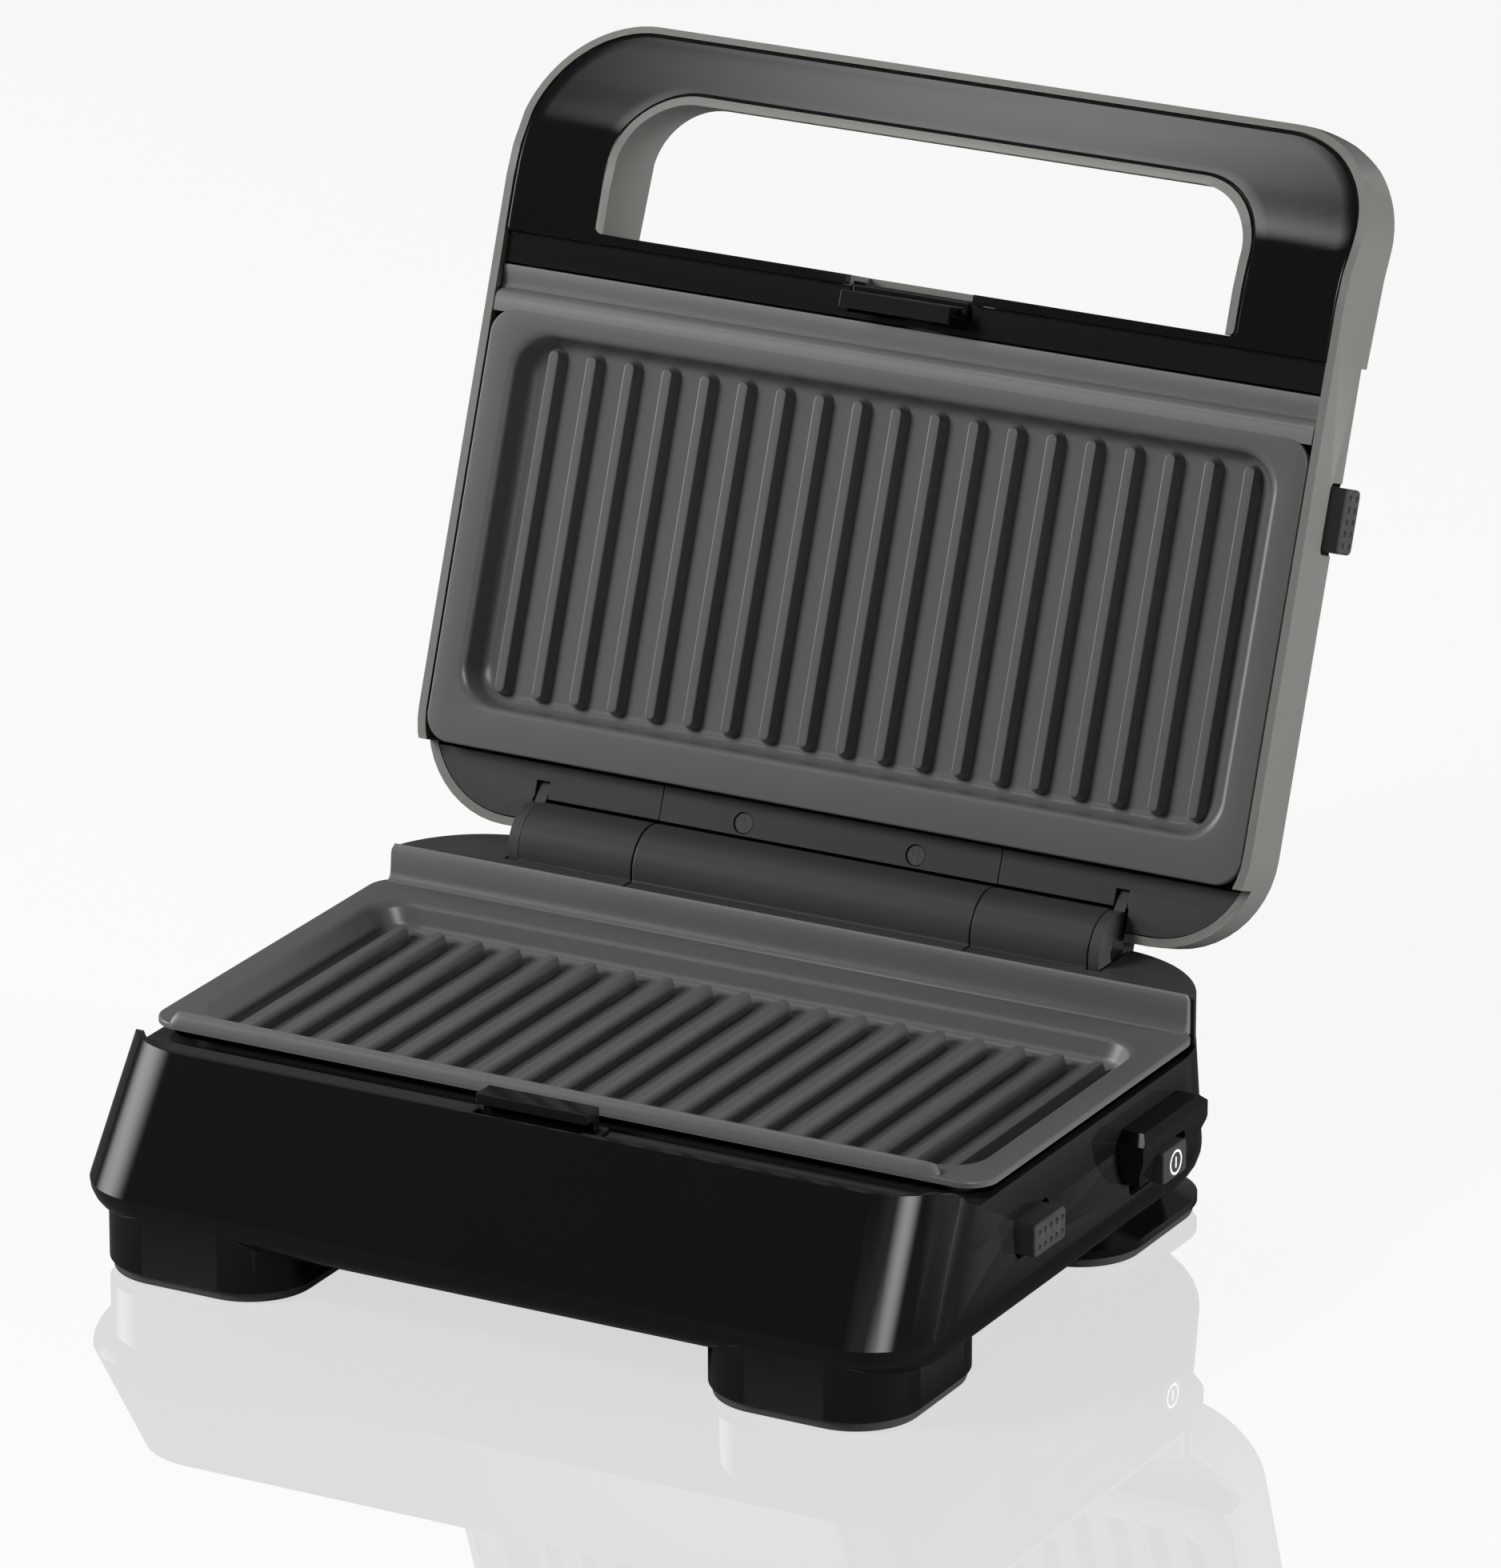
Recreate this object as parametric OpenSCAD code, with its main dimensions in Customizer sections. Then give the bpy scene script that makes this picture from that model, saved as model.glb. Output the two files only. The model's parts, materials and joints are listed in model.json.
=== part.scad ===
// Panini press: a hinged lid with a loop handle over a footed base, ribbed lift-off plates
// above and below, a latch, two plate releases and a power button. Millimetres. +X is the
// right-hand side, +Y runs to the hinge and +Z is up from the worktop. The pieces are laid
// out from the middle of the four feet, the lid's pieces as if it were shut, and the lid is
// then swung to its open stop. The row's origin is under the middle of the open appliance.

/* [Casing] */
// Width of the base at its widest line
base_w = 268.6; // [266:0.1:270]
// Y of the front at its widest line
base_front = -103.5; // [-106:0.5:-102]
// Y of the rear wall
base_rear = 102; // [100:0.5:103]
// Height of the side walls
side_top = 54.7; // [54:0.1:55]
// Height of the front ridge
ridge_top = 62; // [61:0.1:62.5]
// Wall of the base and lid mouldings
wall = 2.5; // [2:0.1:3]

/* [Plates] */
// Width over the plates' rims
plate_w = 265; // [262:0.5:265]
// Height of the lower plate's rim
rim_z = 60; // [59.5:0.1:60.5]
// Ribs on each plate
rib_count = 19; // [15:2:21]
// Distance from rib to rib
rib_pitch = 12.5; // [11:0.1:12.5]
// Width of a rib at its root
rib_w = 6.9; // [5:0.1:8]
// Width of a rib's flat crest
rib_crest_w = 2.5; // [1.5:0.1:3]
// Height of a rib
rib_h = 4; // [3:0.1:4.2]
// Depth of the trays below their rims
tray_depth = 8.6; // [8:0.1:9]

/* [Lid] */
// Width over the lid
lid_w = 270; // [269:0.5:272]
// Height of the shut lid's rim above the worktop
lid_rim_z = 65; // [65:0.1:66]
// Height of the shut lid's crown above the worktop
lid_top_z = 97.3; // [95:0.1:99]
// Opening angle at the stop
lid_open = 110; // [100:1:110]
// Y of the handle's far edge with the lid shut
handle_front = -144.4; // [-146:0.1:-142]
// Half width of the window inside the handle
window_half = 103; // [98:0.5:104]

/* [Hinge] */
// Y of the hinge axis
hinge_y = 94.5; // [94:0.1:95]
// Height of the hinge axis
hinge_z = 71; // [70.8:0.1:71.2]
// Radius of the hinge barrel
barrel_r = 11.5; // [11:0.1:11.5]
// Half length of the barrel over the lid's arms
barrel_half = 96; // [94:0.5:97]
// Radius of the hinge pins
pin_r = 4; // [3:0.1:4.2]

/* [Controls] */
// Travel of the plate releases
release_travel = 3; // [2:0.5:3]
// Travel of the power button
power_travel = 2; // [1:0.5:2]

/* [Hidden] */
$fn = 64;

// The middle of the open appliance's footprint, which is the row's origin
row_x = 3.75;
row_y = 46.77;

half_w = base_w / 2;
rear_r = 38;
front_r = 24;
floor_z = 15.5;
wide_z = 25;
deck_z = 57;
// How far the front leans in per millimetre of height above its widest line
front_lean = 0.595;
// How far the side walls lean in per millimetre of height above their widest line
side_lean = 0.075;
// How far the underside draws in below the widest line
tuck_in = 9;
casing_heights = [floor_z, 16.5, 18, 20, 22.5, wide_z, 34, 43, 52, ridge_top];
ledge_z = 69;
ledge_front = 76;
seam_x = 55;
tray_top = rim_z - tray_depth;
tray_half = 124;
lid_tray_z = lid_rim_z + tray_depth;
lid_half = lid_w / 2;
lid_rear = 91.6;
handle_root = -80;
leg_x = 95.5;
release_y = -29.5;
release_z = 38;
upper_release_y = -35.8;
upper_release_z = 82.3;
power_y = 39.9;
power_z = 34.9;
power_face_x = 142.5;
latch_y = -77;
latch_z = 75;
latch_half = 18.5;
gap = 0.3;
eps = 0.02;

// ---- shared outlines ----

// Rounded rectangle, symmetric about X = 0, with its own radii in front and behind
module plan(half, y0, y1, rf, rr) {
    polygon([[-half + rf, y0], [half - rf, y0], [half, y0 + rf], [half, y1 - rr],
        [half - rr, y1], [-half + rr, y1], [-half, y1 - rr], [-half, y0 + rf]]);
    for (s = [-1, 1]) {
        translate([s * (half - rf), y0 + rf]) circle(rf);
        translate([s * (half - rr), y1 - rr]) circle(rr);
    }
}

module plate_of(z, t) translate([0, 0, z]) linear_extrude(t) children();

// How far the underside tucks in, and the front leans back, at a height
function tuck(z) = z >= wide_z ? 0 : tuck_in * (1 - sqrt(1 - pow((wide_z - z) / (wide_z - floor_z + 1), 2)));
function lean(z) = max(0, z - wide_z);

// Thin slice of the base's outline at a height, drawn in by inset
module base_slice(z, inset) {
    plate_of(z, eps) plan(half_w - tuck(z) - lean(z) * side_lean - inset,
        base_front + tuck(z) + lean(z) * front_lean + inset, base_rear - tuck(z) * 0.5 - inset,
        front_r - min(inset, 4), rear_r - inset, $fn = 48);
}

// The base's outer form between the first and last of a list of heights
module base_solid(inset, heights) {
    for (i = [0:len(heights) - 2]) hull() {
        base_slice(heights[i], inset);
        base_slice(heights[i + 1], inset);
    }
}

// Prism along X over an outline given as [y, z] points
module along_x(points, x0, x1) {
    translate([x0, 0, 0]) rotate([90, 0, 90]) linear_extrude(x1 - x0) polygon(points);
}

module box(x0, x1, y0, y1, z0, z1) translate([x0, y0, z0]) cube([x1 - x0, y1 - y0, z1 - z0]);

module barrel(r, x0, x1) translate([x0, hinge_y, hinge_z]) rotate([0, 90, 0]) cylinder(r = r, h = x1 - x0);

module rod_x(r, x0, x1, y, z) translate([x0, y, z]) rotate([0, 90, 0]) cylinder(r = r, h = x1 - x0);

module rod_y(r, x, y0, y1, z) translate([x, y0, z]) rotate([-90, 0, 0]) cylinder(r = r, h = y1 - y0);

// Box in the YZ plane with rounded corners, run from x0 to x1
module rounded_x(x0, x1, y, z, w, h, r) {
    translate([x0, y, z]) rotate([90, 0, 90]) linear_extrude(x1 - x0) {
        square([w - 2 * r, h], center = true);
        square([w, h - 2 * r], center = true);
        for (a = [-1, 1], b = [-1, 1]) translate([a * (w / 2 - r), b * (h / 2 - r)]) circle(r);
    }
}

// Where the row's pieces stand, and where the lid's pieces swing to
module in_row() translate([-row_x, -row_y, 0]) children();

module on_lid() {
    in_row() translate([0, hinge_y, hinge_z]) rotate([-lid_open, 0, 0]) translate([0, -hinge_y, -hinge_z])
        children();
}

// Rows of trapezoid ribs from y0 to y1 that stand on the plane z, up or down
module ribs(y0, y1, z, side) {
    first = -(rib_count - 1) / 2 * rib_pitch;
    for (i = [0:rib_count - 1]) translate([first + i * rib_pitch, y1, z]) rotate([90, 0, 0])
        linear_extrude(y1 - y0) polygon([[-rib_w / 2, -side * 0.5], [rib_w / 2, -side * 0.5], [rib_w / 2, 0],
            [rib_crest_w / 2, side * rib_h], [-rib_crest_w / 2, side * rib_h], [-rib_w / 2, 0]]);
}

// Tubular heater: a rounded loop in a level plane, open at the rear where its ends turn in
module heater(z) {
    r = 3.2;
    bend = 22;
    hx = 88;
    y0 = -28;
    y1 = 42;
    end_x = 18;
    translate([0, 0, z]) {
        for (s = [-1, 1]) {
            translate([s * (hx - bend), y0 + bend, 0]) rotate([0, 0, s > 0 ? -90 : 180])
                rotate_extrude(angle = 90) translate([bend, 0]) circle(r);
            translate([s * (hx - bend), y1 - bend, 0]) rotate([0, 0, s > 0 ? 0 : 90])
                rotate_extrude(angle = 90) translate([bend, 0]) circle(r);
            rod_y(r, s * hx, y0 + bend, y1 - bend, 0);
            rod_x(r, s > 0 ? end_x : -(hx - bend), s > 0 ? hx - bend : -end_x, y1, 0);
            rod_x(1.5, s > 0 ? end_x - 8 : -end_x - eps, s > 0 ? end_x + eps : -end_x + 8, y1, 0);
        }
        rod_x(r, -(hx - bend), hx - bend, y0, 0);
    }
}

// Short coil spring along X, drawn as touching turns
module spring_x(x0, x1, y, z) {
    wire = 0.7;
    turns = round((x1 - x0) / (wire * 1.8));
    for (i = [0:turns - 1]) translate([x0 + wire + i * (x1 - x0 - 2 * wire) / (turns - 1), y, z])
        rotate([0, 90, 0]) rotate_extrude($fn = 32) translate([2.6, 0]) circle(wire, $fn = 16);
}

// ---- base ----

module base_housing() color([0.03, 0.03, 0.035]) in_row() difference() {
    base_solid(0, casing_heights);
    // the side walls drop away behind the front ridge
    along_x([[-71.5, 70], [-71.5, 61.6], [-67, 60.5], [-63, 56.2], [-58.5, side_top], [120, side_top], [120, 70]],
        -150, 150);
    // hollow under the deck, and the wells for the lower plate and for the hinge covers
    base_solid(wall, [floor_z - 0.9, wide_z, deck_z - wall - 0.5]);
    plate_of(40, 40) plan(half_w - 4.6, -53, ledge_front, 8, 4);
    plate_of(40, 40) plan(half_w - 4.6, 0, base_rear - wall + 0.1, 2, rear_r - wall);
    // the deck behind the ridge
    plate_of(deck_z, 20) plan(129, -79.4, -40, 20, 2);
    // pockets for the buttons, the catch's well and the cord's hole
    rounded_x(120, 140, release_y, release_z, 20.6, 11.8, 2);
    rounded_x(120, 140, power_y, power_z, 24, 16, 2);
    box(-20.5, 20.5, -80.4, -63.6, 50, 70);
    rod_y(6.2, -60, 90, 110, 32);
}

module bottom_cover() color([0.05, 0.05, 0.055]) in_row() difference() {
    union() {
        plate_of(floor_z, 2.2) plan(half_w - 13, -91.5, base_rear - 10, 18, 30);
        for (s = [-1, 1], y = [-80, 0, 82]) translate([s * 46, y, floor_z]) cylinder(r = 4, h = 12);
    }
    for (s = [-1, 1], y = [-80, 0, 82]) translate([s * 46, y, floor_z - 1]) {
        cylinder(r = 3.2, h = 3);
        cylinder(r = 1.6, h = 20);
    }
    // cooling slots
    for (i = [-5:5], y = [-46, 30]) box(i * 7 - 1.2, i * 7 + 1.2, y, y + 26, floor_z - 1, floor_z + 4);
}

module leg_plan(side, inset, y0, y1, r) {
    translate([side * leg_x, 0, 0]) plan(31.5 - inset, y0 + inset, y1 - inset, r - inset, r - inset);
}

module front_leg(side) color([0.03, 0.03, 0.035]) in_row() difference() {
    plate_of(3, 17.5) leg_plan(side, 0, -102.5, -37.5, 20);
    base_solid(0, [for (z = casing_heights) if (z <= wide_z) z]);
}

module rear_leg(side) color([0.03, 0.03, 0.035]) in_row() {
    plate_of(3, 2.2) leg_plan(side, 0, 30.5, 100.5, 20);
    hull() {
        plate_of(5.2, eps) leg_plan(side, 0, 30.5, 100.5, 20, $fn = 32);
        plate_of(8.5, eps) leg_plan(side, 11, 30.5, 100.5, 20, $fn = 32);
    }
    plate_of(8.5, floor_z - 8.5) leg_plan(side, 11, 30.5, 100.5, 20);
}

module foot_pads() color([0.12, 0.12, 0.12]) in_row() for (s = [-1, 1]) {
    plate_of(0, 3) leg_plan(s, 1.2, -102.5, -37.5, 20);
    plate_of(0, 3) leg_plan(s, 1.2, 30.5, 100.5, 20);
}

// Ledge with its stretch of the hinge barrel, between two planes
module hinge_cover(x0, x1) color([0.13, 0.13, 0.135]) in_row() difference() {
    union() {
        intersection() {
            difference() {
                plate_of(side_top + gap, ledge_z - side_top - gap) plan(half_w - 2.4, 0, base_rear, 2, rear_r);
                intersection() {
                    plate_of(side_top, ledge_z - side_top - wall)
                        plan(half_w - 2.4 - wall, 0, base_rear - wall, 2, rear_r - wall);
                    box(-150, 150, ledge_front + wall, 150, 50, 90);
                }
            }
            box(x0, x1, ledge_front, 150, 50, 90);
        }
        barrel(barrel_r, max(x0, -barrel_half + 3.2), min(x1, barrel_half - 3.2));
    }
    for (s = [-1, 1]) {
        box(s * 94.4 - 2.2, s * 94.4 + 2.2, hinge_y - barrel_r - 0.7, 110, hinge_z - barrel_r - 0.7, 90);
        barrel(pin_r, s * 85 - 9, s * 85 + 9);
    }
    barrel(7.5, -seam_x - 12, seam_x + 12);
}

module hinge_pins() color([0.7, 0.7, 0.72]) in_row() for (s = [-1, 1])
    barrel(pin_r, s * 86 - 10, s * 86 + 10);

module lower_plate() color([0.2, 0.2, 0.205]) in_row() {
    difference() {
        union() {
            plate_of(57.6, rim_z - 57.6) plan(plate_w / 2, -57.5, 75, 10, 8);
            hull() {
                plate_of(58, eps) plan(126.5, -51.5, 64, 12, 12, $fn = 32);
                plate_of(tray_top - 3, eps) plan(123, -48, 61, 12, 12, $fn = 32);
            }
            // front lip and rear upstand
            along_x([[-57.5, 59], [-56.4, 62.4], [-54.4, 63], [-52.6, 62], [-50.8, 59]], -122, 118);
            along_x([[69, 59], [72, rim_z + 0.4], [73.2, 70.2], [74, 70.7], [75, 70.3], [75, 59]], -129, 129);
        }
        hull() {
            plate_of(rim_z + 5, eps) plan(tray_half + 2.5, -49.5, 60.5, 12, 12, $fn = 32);
            plate_of(tray_top, eps) plan(tray_half - 5, -46, 57, 10, 10, $fn = 32);
        }
        // the lip's ends must not stand over the tray's corners
        box(-140, 140, -49.4, 66, rim_z, rim_z + 6);
    }
    ribs(-44.5, 52.5, tray_top, 1);
}

module lower_reflector() color([0.75, 0.75, 0.77]) in_row() difference() {
    plate_of(33, 11) plan(95, -42, 56, 10, 10);
    plate_of(33.8, 12) plan(94.2, -41.2, 55.2, 9.2, 9.2);
    // the heater's ends and the thermostat pass through the pan
    for (s = [-1, 1]) translate([s * 14, 42, 30]) cylinder(r = 5, h = 8);
}

module lower_element() color([0.35, 0.33, 0.32]) in_row() heater(tray_top - 3 - 3.2 - 0.1);

module plate_clip(side, y) {
    x = side * 119;
    box(x - 1.5, x + 1.5, y - 8, y + 8, 32, 46.5);
    box(x - 4.5, x + 4.5, y - 8, y + 8, 44.5, 46.5);
}

module lower_plate_clips() color([0.7, 0.7, 0.72]) in_row() {
    plate_clip(1, 10);
    plate_clip(-1, 30);
    plate_clip(-1, -28);
}

module latch_catch() color([0.05, 0.05, 0.055]) in_row() difference() {
    union() {
        box(-20.2, 20.2, -80.1, -63.9, 50.5, 58);
        box(-17.5, 17.5, -71.9, -64.5, 57, 64);
    }
    box(-18.7, 18.7, -78.8, -68, 52, 60.8);
}

module switch_hood() color([0.03, 0.03, 0.035]) in_row() difference() {
    along_x_points = [[26, 47.6], [60, 47.6], [62.6, 45.4], [62.6, 41], [56, 31.5], [25.6, 31.5], [22.5, 36.5],
        [22.5, 44.6]];
    intersection() {
        along_x(along_x_points, 130, 141);
        // the hood thins towards its open foot
        rotate([90, 0, 0]) translate([0, 0, -80]) linear_extrude(80)
            polygon([[129, 30], [138, 30], [141, 40], [141, 45.5], [139.5, 47.6], [129, 47.6]]);
    }
    rounded_x(125, 145, power_y, power_z - 2, 17.4, 17.2, 2);
    base_solid(-0.1, [wide_z, side_top]);
}

module switch_body() color([0.1, 0.1, 0.1]) in_row() {
    rounded_x(108, 122, power_y, power_z, 22, 15, 1);
    for (d = [-5, 5]) box(100, 108.5, power_y + d - 0.5, power_y + d + 0.5, power_z - 3, power_z + 3);
}

module cord_bush() color([0.05, 0.05, 0.05]) in_row() difference() {
    union() {
        rod_y(6, -60, 94, 104, 32);
        rod_y(8.5, -60, base_rear + 0.1, 106, 32);
        rod_y(8.5, -60, 94.5, base_rear - wall - 1.2, 32);
    }
    rod_y(3.6, -60, 90, 110, 32);
}

module lower_thermostat() color([0.75, 0.72, 0.62]) in_row() {
    translate([0, 8, 21.5]) cylinder(r = 12, h = 7);
    translate([0, 8, 28.5]) cylinder(r = 7, h = 4.5);
    for (s = [-1, 1]) box(s * 8 - 2, s * 8 + 2, -8, -3.5, 23, 24);
}

module thermal_fuse() color([0.8, 0.8, 0.78]) in_row() {
    rod_x(3, 26, 44, 42, 27);
    rod_x(0.6, 18, 52, 42, 27);
}

module terminal_block() color([0.85, 0.85, 0.8]) in_row() difference() {
    box(-82, -52, 66, 80, 17.9, 30);
    for (i = [0:2]) translate([-76 + i * 9, 73, 24]) cylinder(r = 2, h = 10);
}

module lower_wiring() color([0.7, 0.15, 0.1]) in_row() {
    r = 1.3;
    near_x = 98.3;
    cross_y = 63.8;
    rod_y(r, -58, 80.2, 93, 25);
    // from each blade of the switch to the terminal block
    for (s = [-1, 1]) {
        y0 = power_y + s * 5;
        z = power_z + s * 1.8;
        end_x = -67 + s * 9;
        rod_x(r, near_x, 99.9, y0, z);
        rod_y(r, near_x, y0, cross_y, z);
        rod_x(r, end_x, near_x, cross_y, z);
        translate([end_x, cross_y, 24]) cylinder(r = r, h = z - 24);
        rod_y(r, end_x, cross_y, 65.8, 24);
        for (p = [[near_x, y0, z], [near_x, cross_y, z], [end_x, cross_y, z], [end_x, cross_y, 24]])
            translate(p) sphere(r);
    }
}

module base_screws() color([0.65, 0.65, 0.67]) in_row() for (s = [-1, 1], y = [-80, 0, 82])
    translate([s * 46, y, floor_z]) difference() {
        union() {
            translate([0, 0, 0.3]) cylinder(r = 2.9, h = 1.6);
            cylinder(r = 1.55, h = 11);
        }
        for (a = [0, 90]) rotate([0, 0, a]) translate([-1.7, -0.4, -1]) cube([3.4, 0.8, 2.2]);
    }

module lower_release_spring() color([0.7, 0.7, 0.72]) in_row() spring_x(104, 112.5, release_y, release_z);

// ---- lid, drawn shut ----

// The handle's side profile: underside from the root to the tip, then the outer side back
handle_under = [[handle_root + 1, lid_rim_z], [-95, lid_rim_z], [-104, 66], [-115, 70], [-126, 75.4],
    [-137, 80.6], [handle_front, 84.4]];
handle_outer = [[handle_front, 90], [-141, 94.4], [-135, 95.4], [-122, 92.8], [-105, 89.4],
    [handle_root + 1, 87.6]];

module handle_blank(inset) {
    intersection() {
        along_x(concat(handle_under, handle_outer), -lid_half, lid_half);
        plate_of(50, 60) plan(lid_half - inset, handle_front + inset, handle_root + 5, 32 - inset, 1);
    }
}

// A band that follows the handle's underside, from depth a to depth b
module under_band(a, b, half, y0, y1, rf, rr) {
    lower = [for (p = handle_under) [p[0], p[1] + a]];
    upper = [for (i = [len(handle_under) - 1:-1:0]) [handle_under[i][0], handle_under[i][1] + b]];
    intersection() {
        along_x(concat(lower, upper), -half, half);
        plate_of(50, 60) plan(half, y0, y1, rf, rr);
    }
}

module window_cut(half, y0, y1, r) plate_of(50, 60) plan(half, y0, y1, r, 2);

module lid_shell() color([0.47, 0.47, 0.45]) on_lid() difference() {
    union() {
        difference() {
            hull() {
                plate_of(lid_rim_z, 19) plan(lid_half, handle_root - 2, lid_rear, 3, 30, $fn = 48);
                plate_of(lid_top_z - 3, eps) plan(lid_half - 6, handle_root + 6, lid_rear - 6, 8, 26, $fn = 48);
                plate_of(lid_top_z - eps, eps) plan(lid_half - 17, handle_root + 18, lid_rear - 17, 14, 20, $fn = 48);
            }
            hull() {
                plate_of(lid_rim_z - 1, 19) plan(lid_half - wall, handle_root + 0.4, lid_rear - wall, 2, 28, $fn = 48);
                plate_of(lid_top_z - wall - 1, eps)
                    plan(lid_half - 18, handle_root + 20, lid_rear - 18, 14, 20, $fn = 48);
            }
        }
        handle_blank(0);
    }
    window_cut(window_half + 0.1, -126.1, -82.1, 22);
    // seat for the handle's dark panel and the strip behind it
    under_band(-1, 2.4, 132.6, handle_front + 2, handle_root + 3, 30, 1);
    box(-132.5, 132.5, -79.6, -60, 60, 72);
    // room for the latch
    box(-20.2, 20.2, -84.6, -72, 60, 80);
    box(-24.4, 24.4, -80.6, -74, 69.9, 78);
    // the rear stands clear of the ledge and of the barrel
    box(-140, 140, 71, 110, 60, 72);
    barrel(barrel_r + 1, -barrel_half - 1, barrel_half + 1);
    rounded_x(120, 140, upper_release_y, upper_release_z, 20.6, 11.4, 2);
}

module handle_panel() color([0.02, 0.02, 0.025]) on_lid() difference() {
    under_band(0, 2.2, 132.3, handle_front + 2.3, handle_root + 0.8, 30, 1);
    window_cut(window_half + 0.1, -126.1, -82.1, 22);
    box(-20.2, 20.2, -90, -70, 60, 80);
}

module window_frame() color([0.6, 0.6, 0.58]) on_lid() difference() {
    intersection() {
        along_x(concat([for (p = handle_under) [p[0], p[1] - 0.4]], handle_outer), -window_half, window_half);
        window_cut(window_half, -126, -82.2, 22);
    }
    window_cut(window_half - 2.6, -123.4, -82.3 + 1.9, 19.4);
    box(-20.2, 20.2, -84.6, -70, 60, 80);
}

module lid_front_strip() color([0.02, 0.02, 0.025]) on_lid() difference() {
    union() {
        plate_of(67.6, 2.2) plan(131.8, -79, -70.1, 1, 1);
        // ears that hold the latch's pin
        for (s = [-1, 1]) box(s * 22.1 - 1.5, s * 22.1 + 1.5, -79, -74.6, 69.7, 77.4);
    }
    box(-19.8, 19.8, -80, -71.6, 60, 80);
    rod_x(1.52, -30, 30, latch_y, latch_z);
}

module lid_rear_cover(x0, x1) color([0.13, 0.13, 0.135]) on_lid() difference() {
    intersection() {
        plate_of(72.2, 2.4) plan(lid_half - wall - 0.2, 0, lid_rear - wall - 0.3, 1, 27.5);
        box(x0, x1, 71.9, 100, 70, 80);
    }
    box(-barrel_half - 0.8, barrel_half + 0.8, hinge_y - barrel_r - 0.9, 110, 60, 90);
    for (s = [-1, 1]) {
        box(s * 94.2 - 2.2, s * 94.2 + 2.2, 77, 100, 60, 90);
        translate([s * 28, 78.4, 60]) cylinder(r = 1.7, h = 30);
        translate([s * 28, 78.4, 60]) cylinder(r = 3.2, h = 13.4);
    }
}

module hinge_arm(side) color([0.55, 0.55, 0.57]) on_lid() {
    x0 = side * 94.2 - 1.7;
    difference() {
        union() {
            barrel(barrel_r - 0.3, x0, x0 + 3.4);
            along_x([[94.5, 71.5], [94.5, 82], [62, 84], [57.5, 84], [57.5, 77.5], [66, 77.5], [76, 74.9], [84, 71.5]],
                x0, x0 + 3.4);
        }
        barrel(pin_r + 0.06, x0 - 1, x0 + 5);
    }
}

module upper_plate() color([0.2, 0.2, 0.205]) on_lid() {
    difference() {
        union() {
            plate_of(lid_rim_z, 2.4) plan(plate_w / 2 - 0.4, -62, 70.8, 6, 8);
            // the front edge steps back from the rim
            plate_of(lid_rim_z + 2, 2.4) plan(plate_w / 2 - 0.4, -69.6, -40, 6, 1);
            hull() {
                plate_of(lid_rim_z + 2, eps) plan(126.5, -54, 66, 12, 12, $fn = 32);
                plate_of(lid_tray_z + 3 - eps, eps) plan(123, -51, 63, 12, 12, $fn = 32);
            }
        }
        hull() {
            plate_of(lid_rim_z - 1, eps) plan(tray_half + 0.6, -52.6, 60.4, 12, 12, $fn = 32);
            plate_of(lid_tray_z - eps, eps) plan(tray_half - 5, -49.4, 57, 10, 10, $fn = 32);
        }
    }
    ribs(-47.9, 55.1, lid_tray_z, -1);
}

module upper_reflector() color([0.75, 0.75, 0.77]) on_lid() difference() {
    plate_of(82, 8) plan(98, -42, 56, 10, 10);
    plate_of(81, 8.2) plan(97.2, -41.2, 55.2, 9.2, 9.2);
}

module upper_element() color([0.35, 0.33, 0.32]) on_lid() heater(lid_tray_z + 3 + 3.2 + 0.1);

module upper_plate_clips() color([0.7, 0.7, 0.72]) on_lid() {
    for (p = [[-1, 30], [1, 30], [-1, -28]]) {
        box(p[0] * 119 - 1.5, p[0] * 119 + 1.5, p[1] - 8, p[1] + 8, 77.2, 88);
        box(p[0] * 119 - 4.5, p[0] * 119 + 4.5, p[1] - 8, p[1] + 8, 77.2, 79);
    }
}

module upper_wiring() color([0.7, 0.15, 0.1]) on_lid() for (s = [-1, 1]) {
    rod_y(1.3, s * 6, 42, 70, lid_tray_z + 6.3);
    translate([s * 6, 42, lid_tray_z + 6.3]) sphere(1.3);
    rod_x(1.3, s > 0 ? 6 : -10, s > 0 ? 10 : -6, 42, lid_tray_z + 6.3);
}

module lid_screws() color([0.5, 0.5, 0.5]) on_lid() for (s = [-1, 1]) translate([s * 28, 78.4, 0]) difference() {
    union() {
        translate([0, 0, 72.6]) cylinder(r = 2.8, h = 0.8);
        translate([0, 0, 73]) cylinder(r = 1.6, h = 8);
    }
    for (a = [0, 90]) rotate([0, 0, a]) translate([-1.7, -0.4, 72]) cube([3.4, 0.8, 1.1]);
}

module upper_release_spring() color([0.7, 0.7, 0.72]) on_lid()
    spring_x(104, 112.5, upper_release_y, upper_release_z);

module latch_pin() color([0.7, 0.7, 0.72]) on_lid() rod_x(1.5, -24, 24, latch_y, latch_z);

// ---- pieces that move on their own ----

module latch() color([0.04, 0.04, 0.045]) on_lid() difference() {
    union() {
        rod_x(3.2, -latch_half, latch_half, latch_y, latch_z);
        box(-latch_half, latch_half, -79.6, -74.4, 66.4, 69);
        box(-latch_half, latch_half, -78.4, -75.6, 66.4, latch_z);
        box(-17.6, 17.6, -77.6, -75.2, 57.2, 67);
        box(-17.6, 17.6, -77.6, -72.6, 57.2, 59);
    }
    rod_x(1.56, -30, 30, latch_y, latch_z);
}

module release_cap(y, z) {
    rounded_x(126, 139, y, z, 18.6, 9.6, 1.6);
    rounded_x(116.5, 126 + eps, y, z, 12, 6, 1);
    rod_x(1.6, 112.8, 116.6, y, z);
}

module lower_release_button() color([0.15, 0.15, 0.155]) in_row() release_cap(release_y, release_z);

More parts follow.
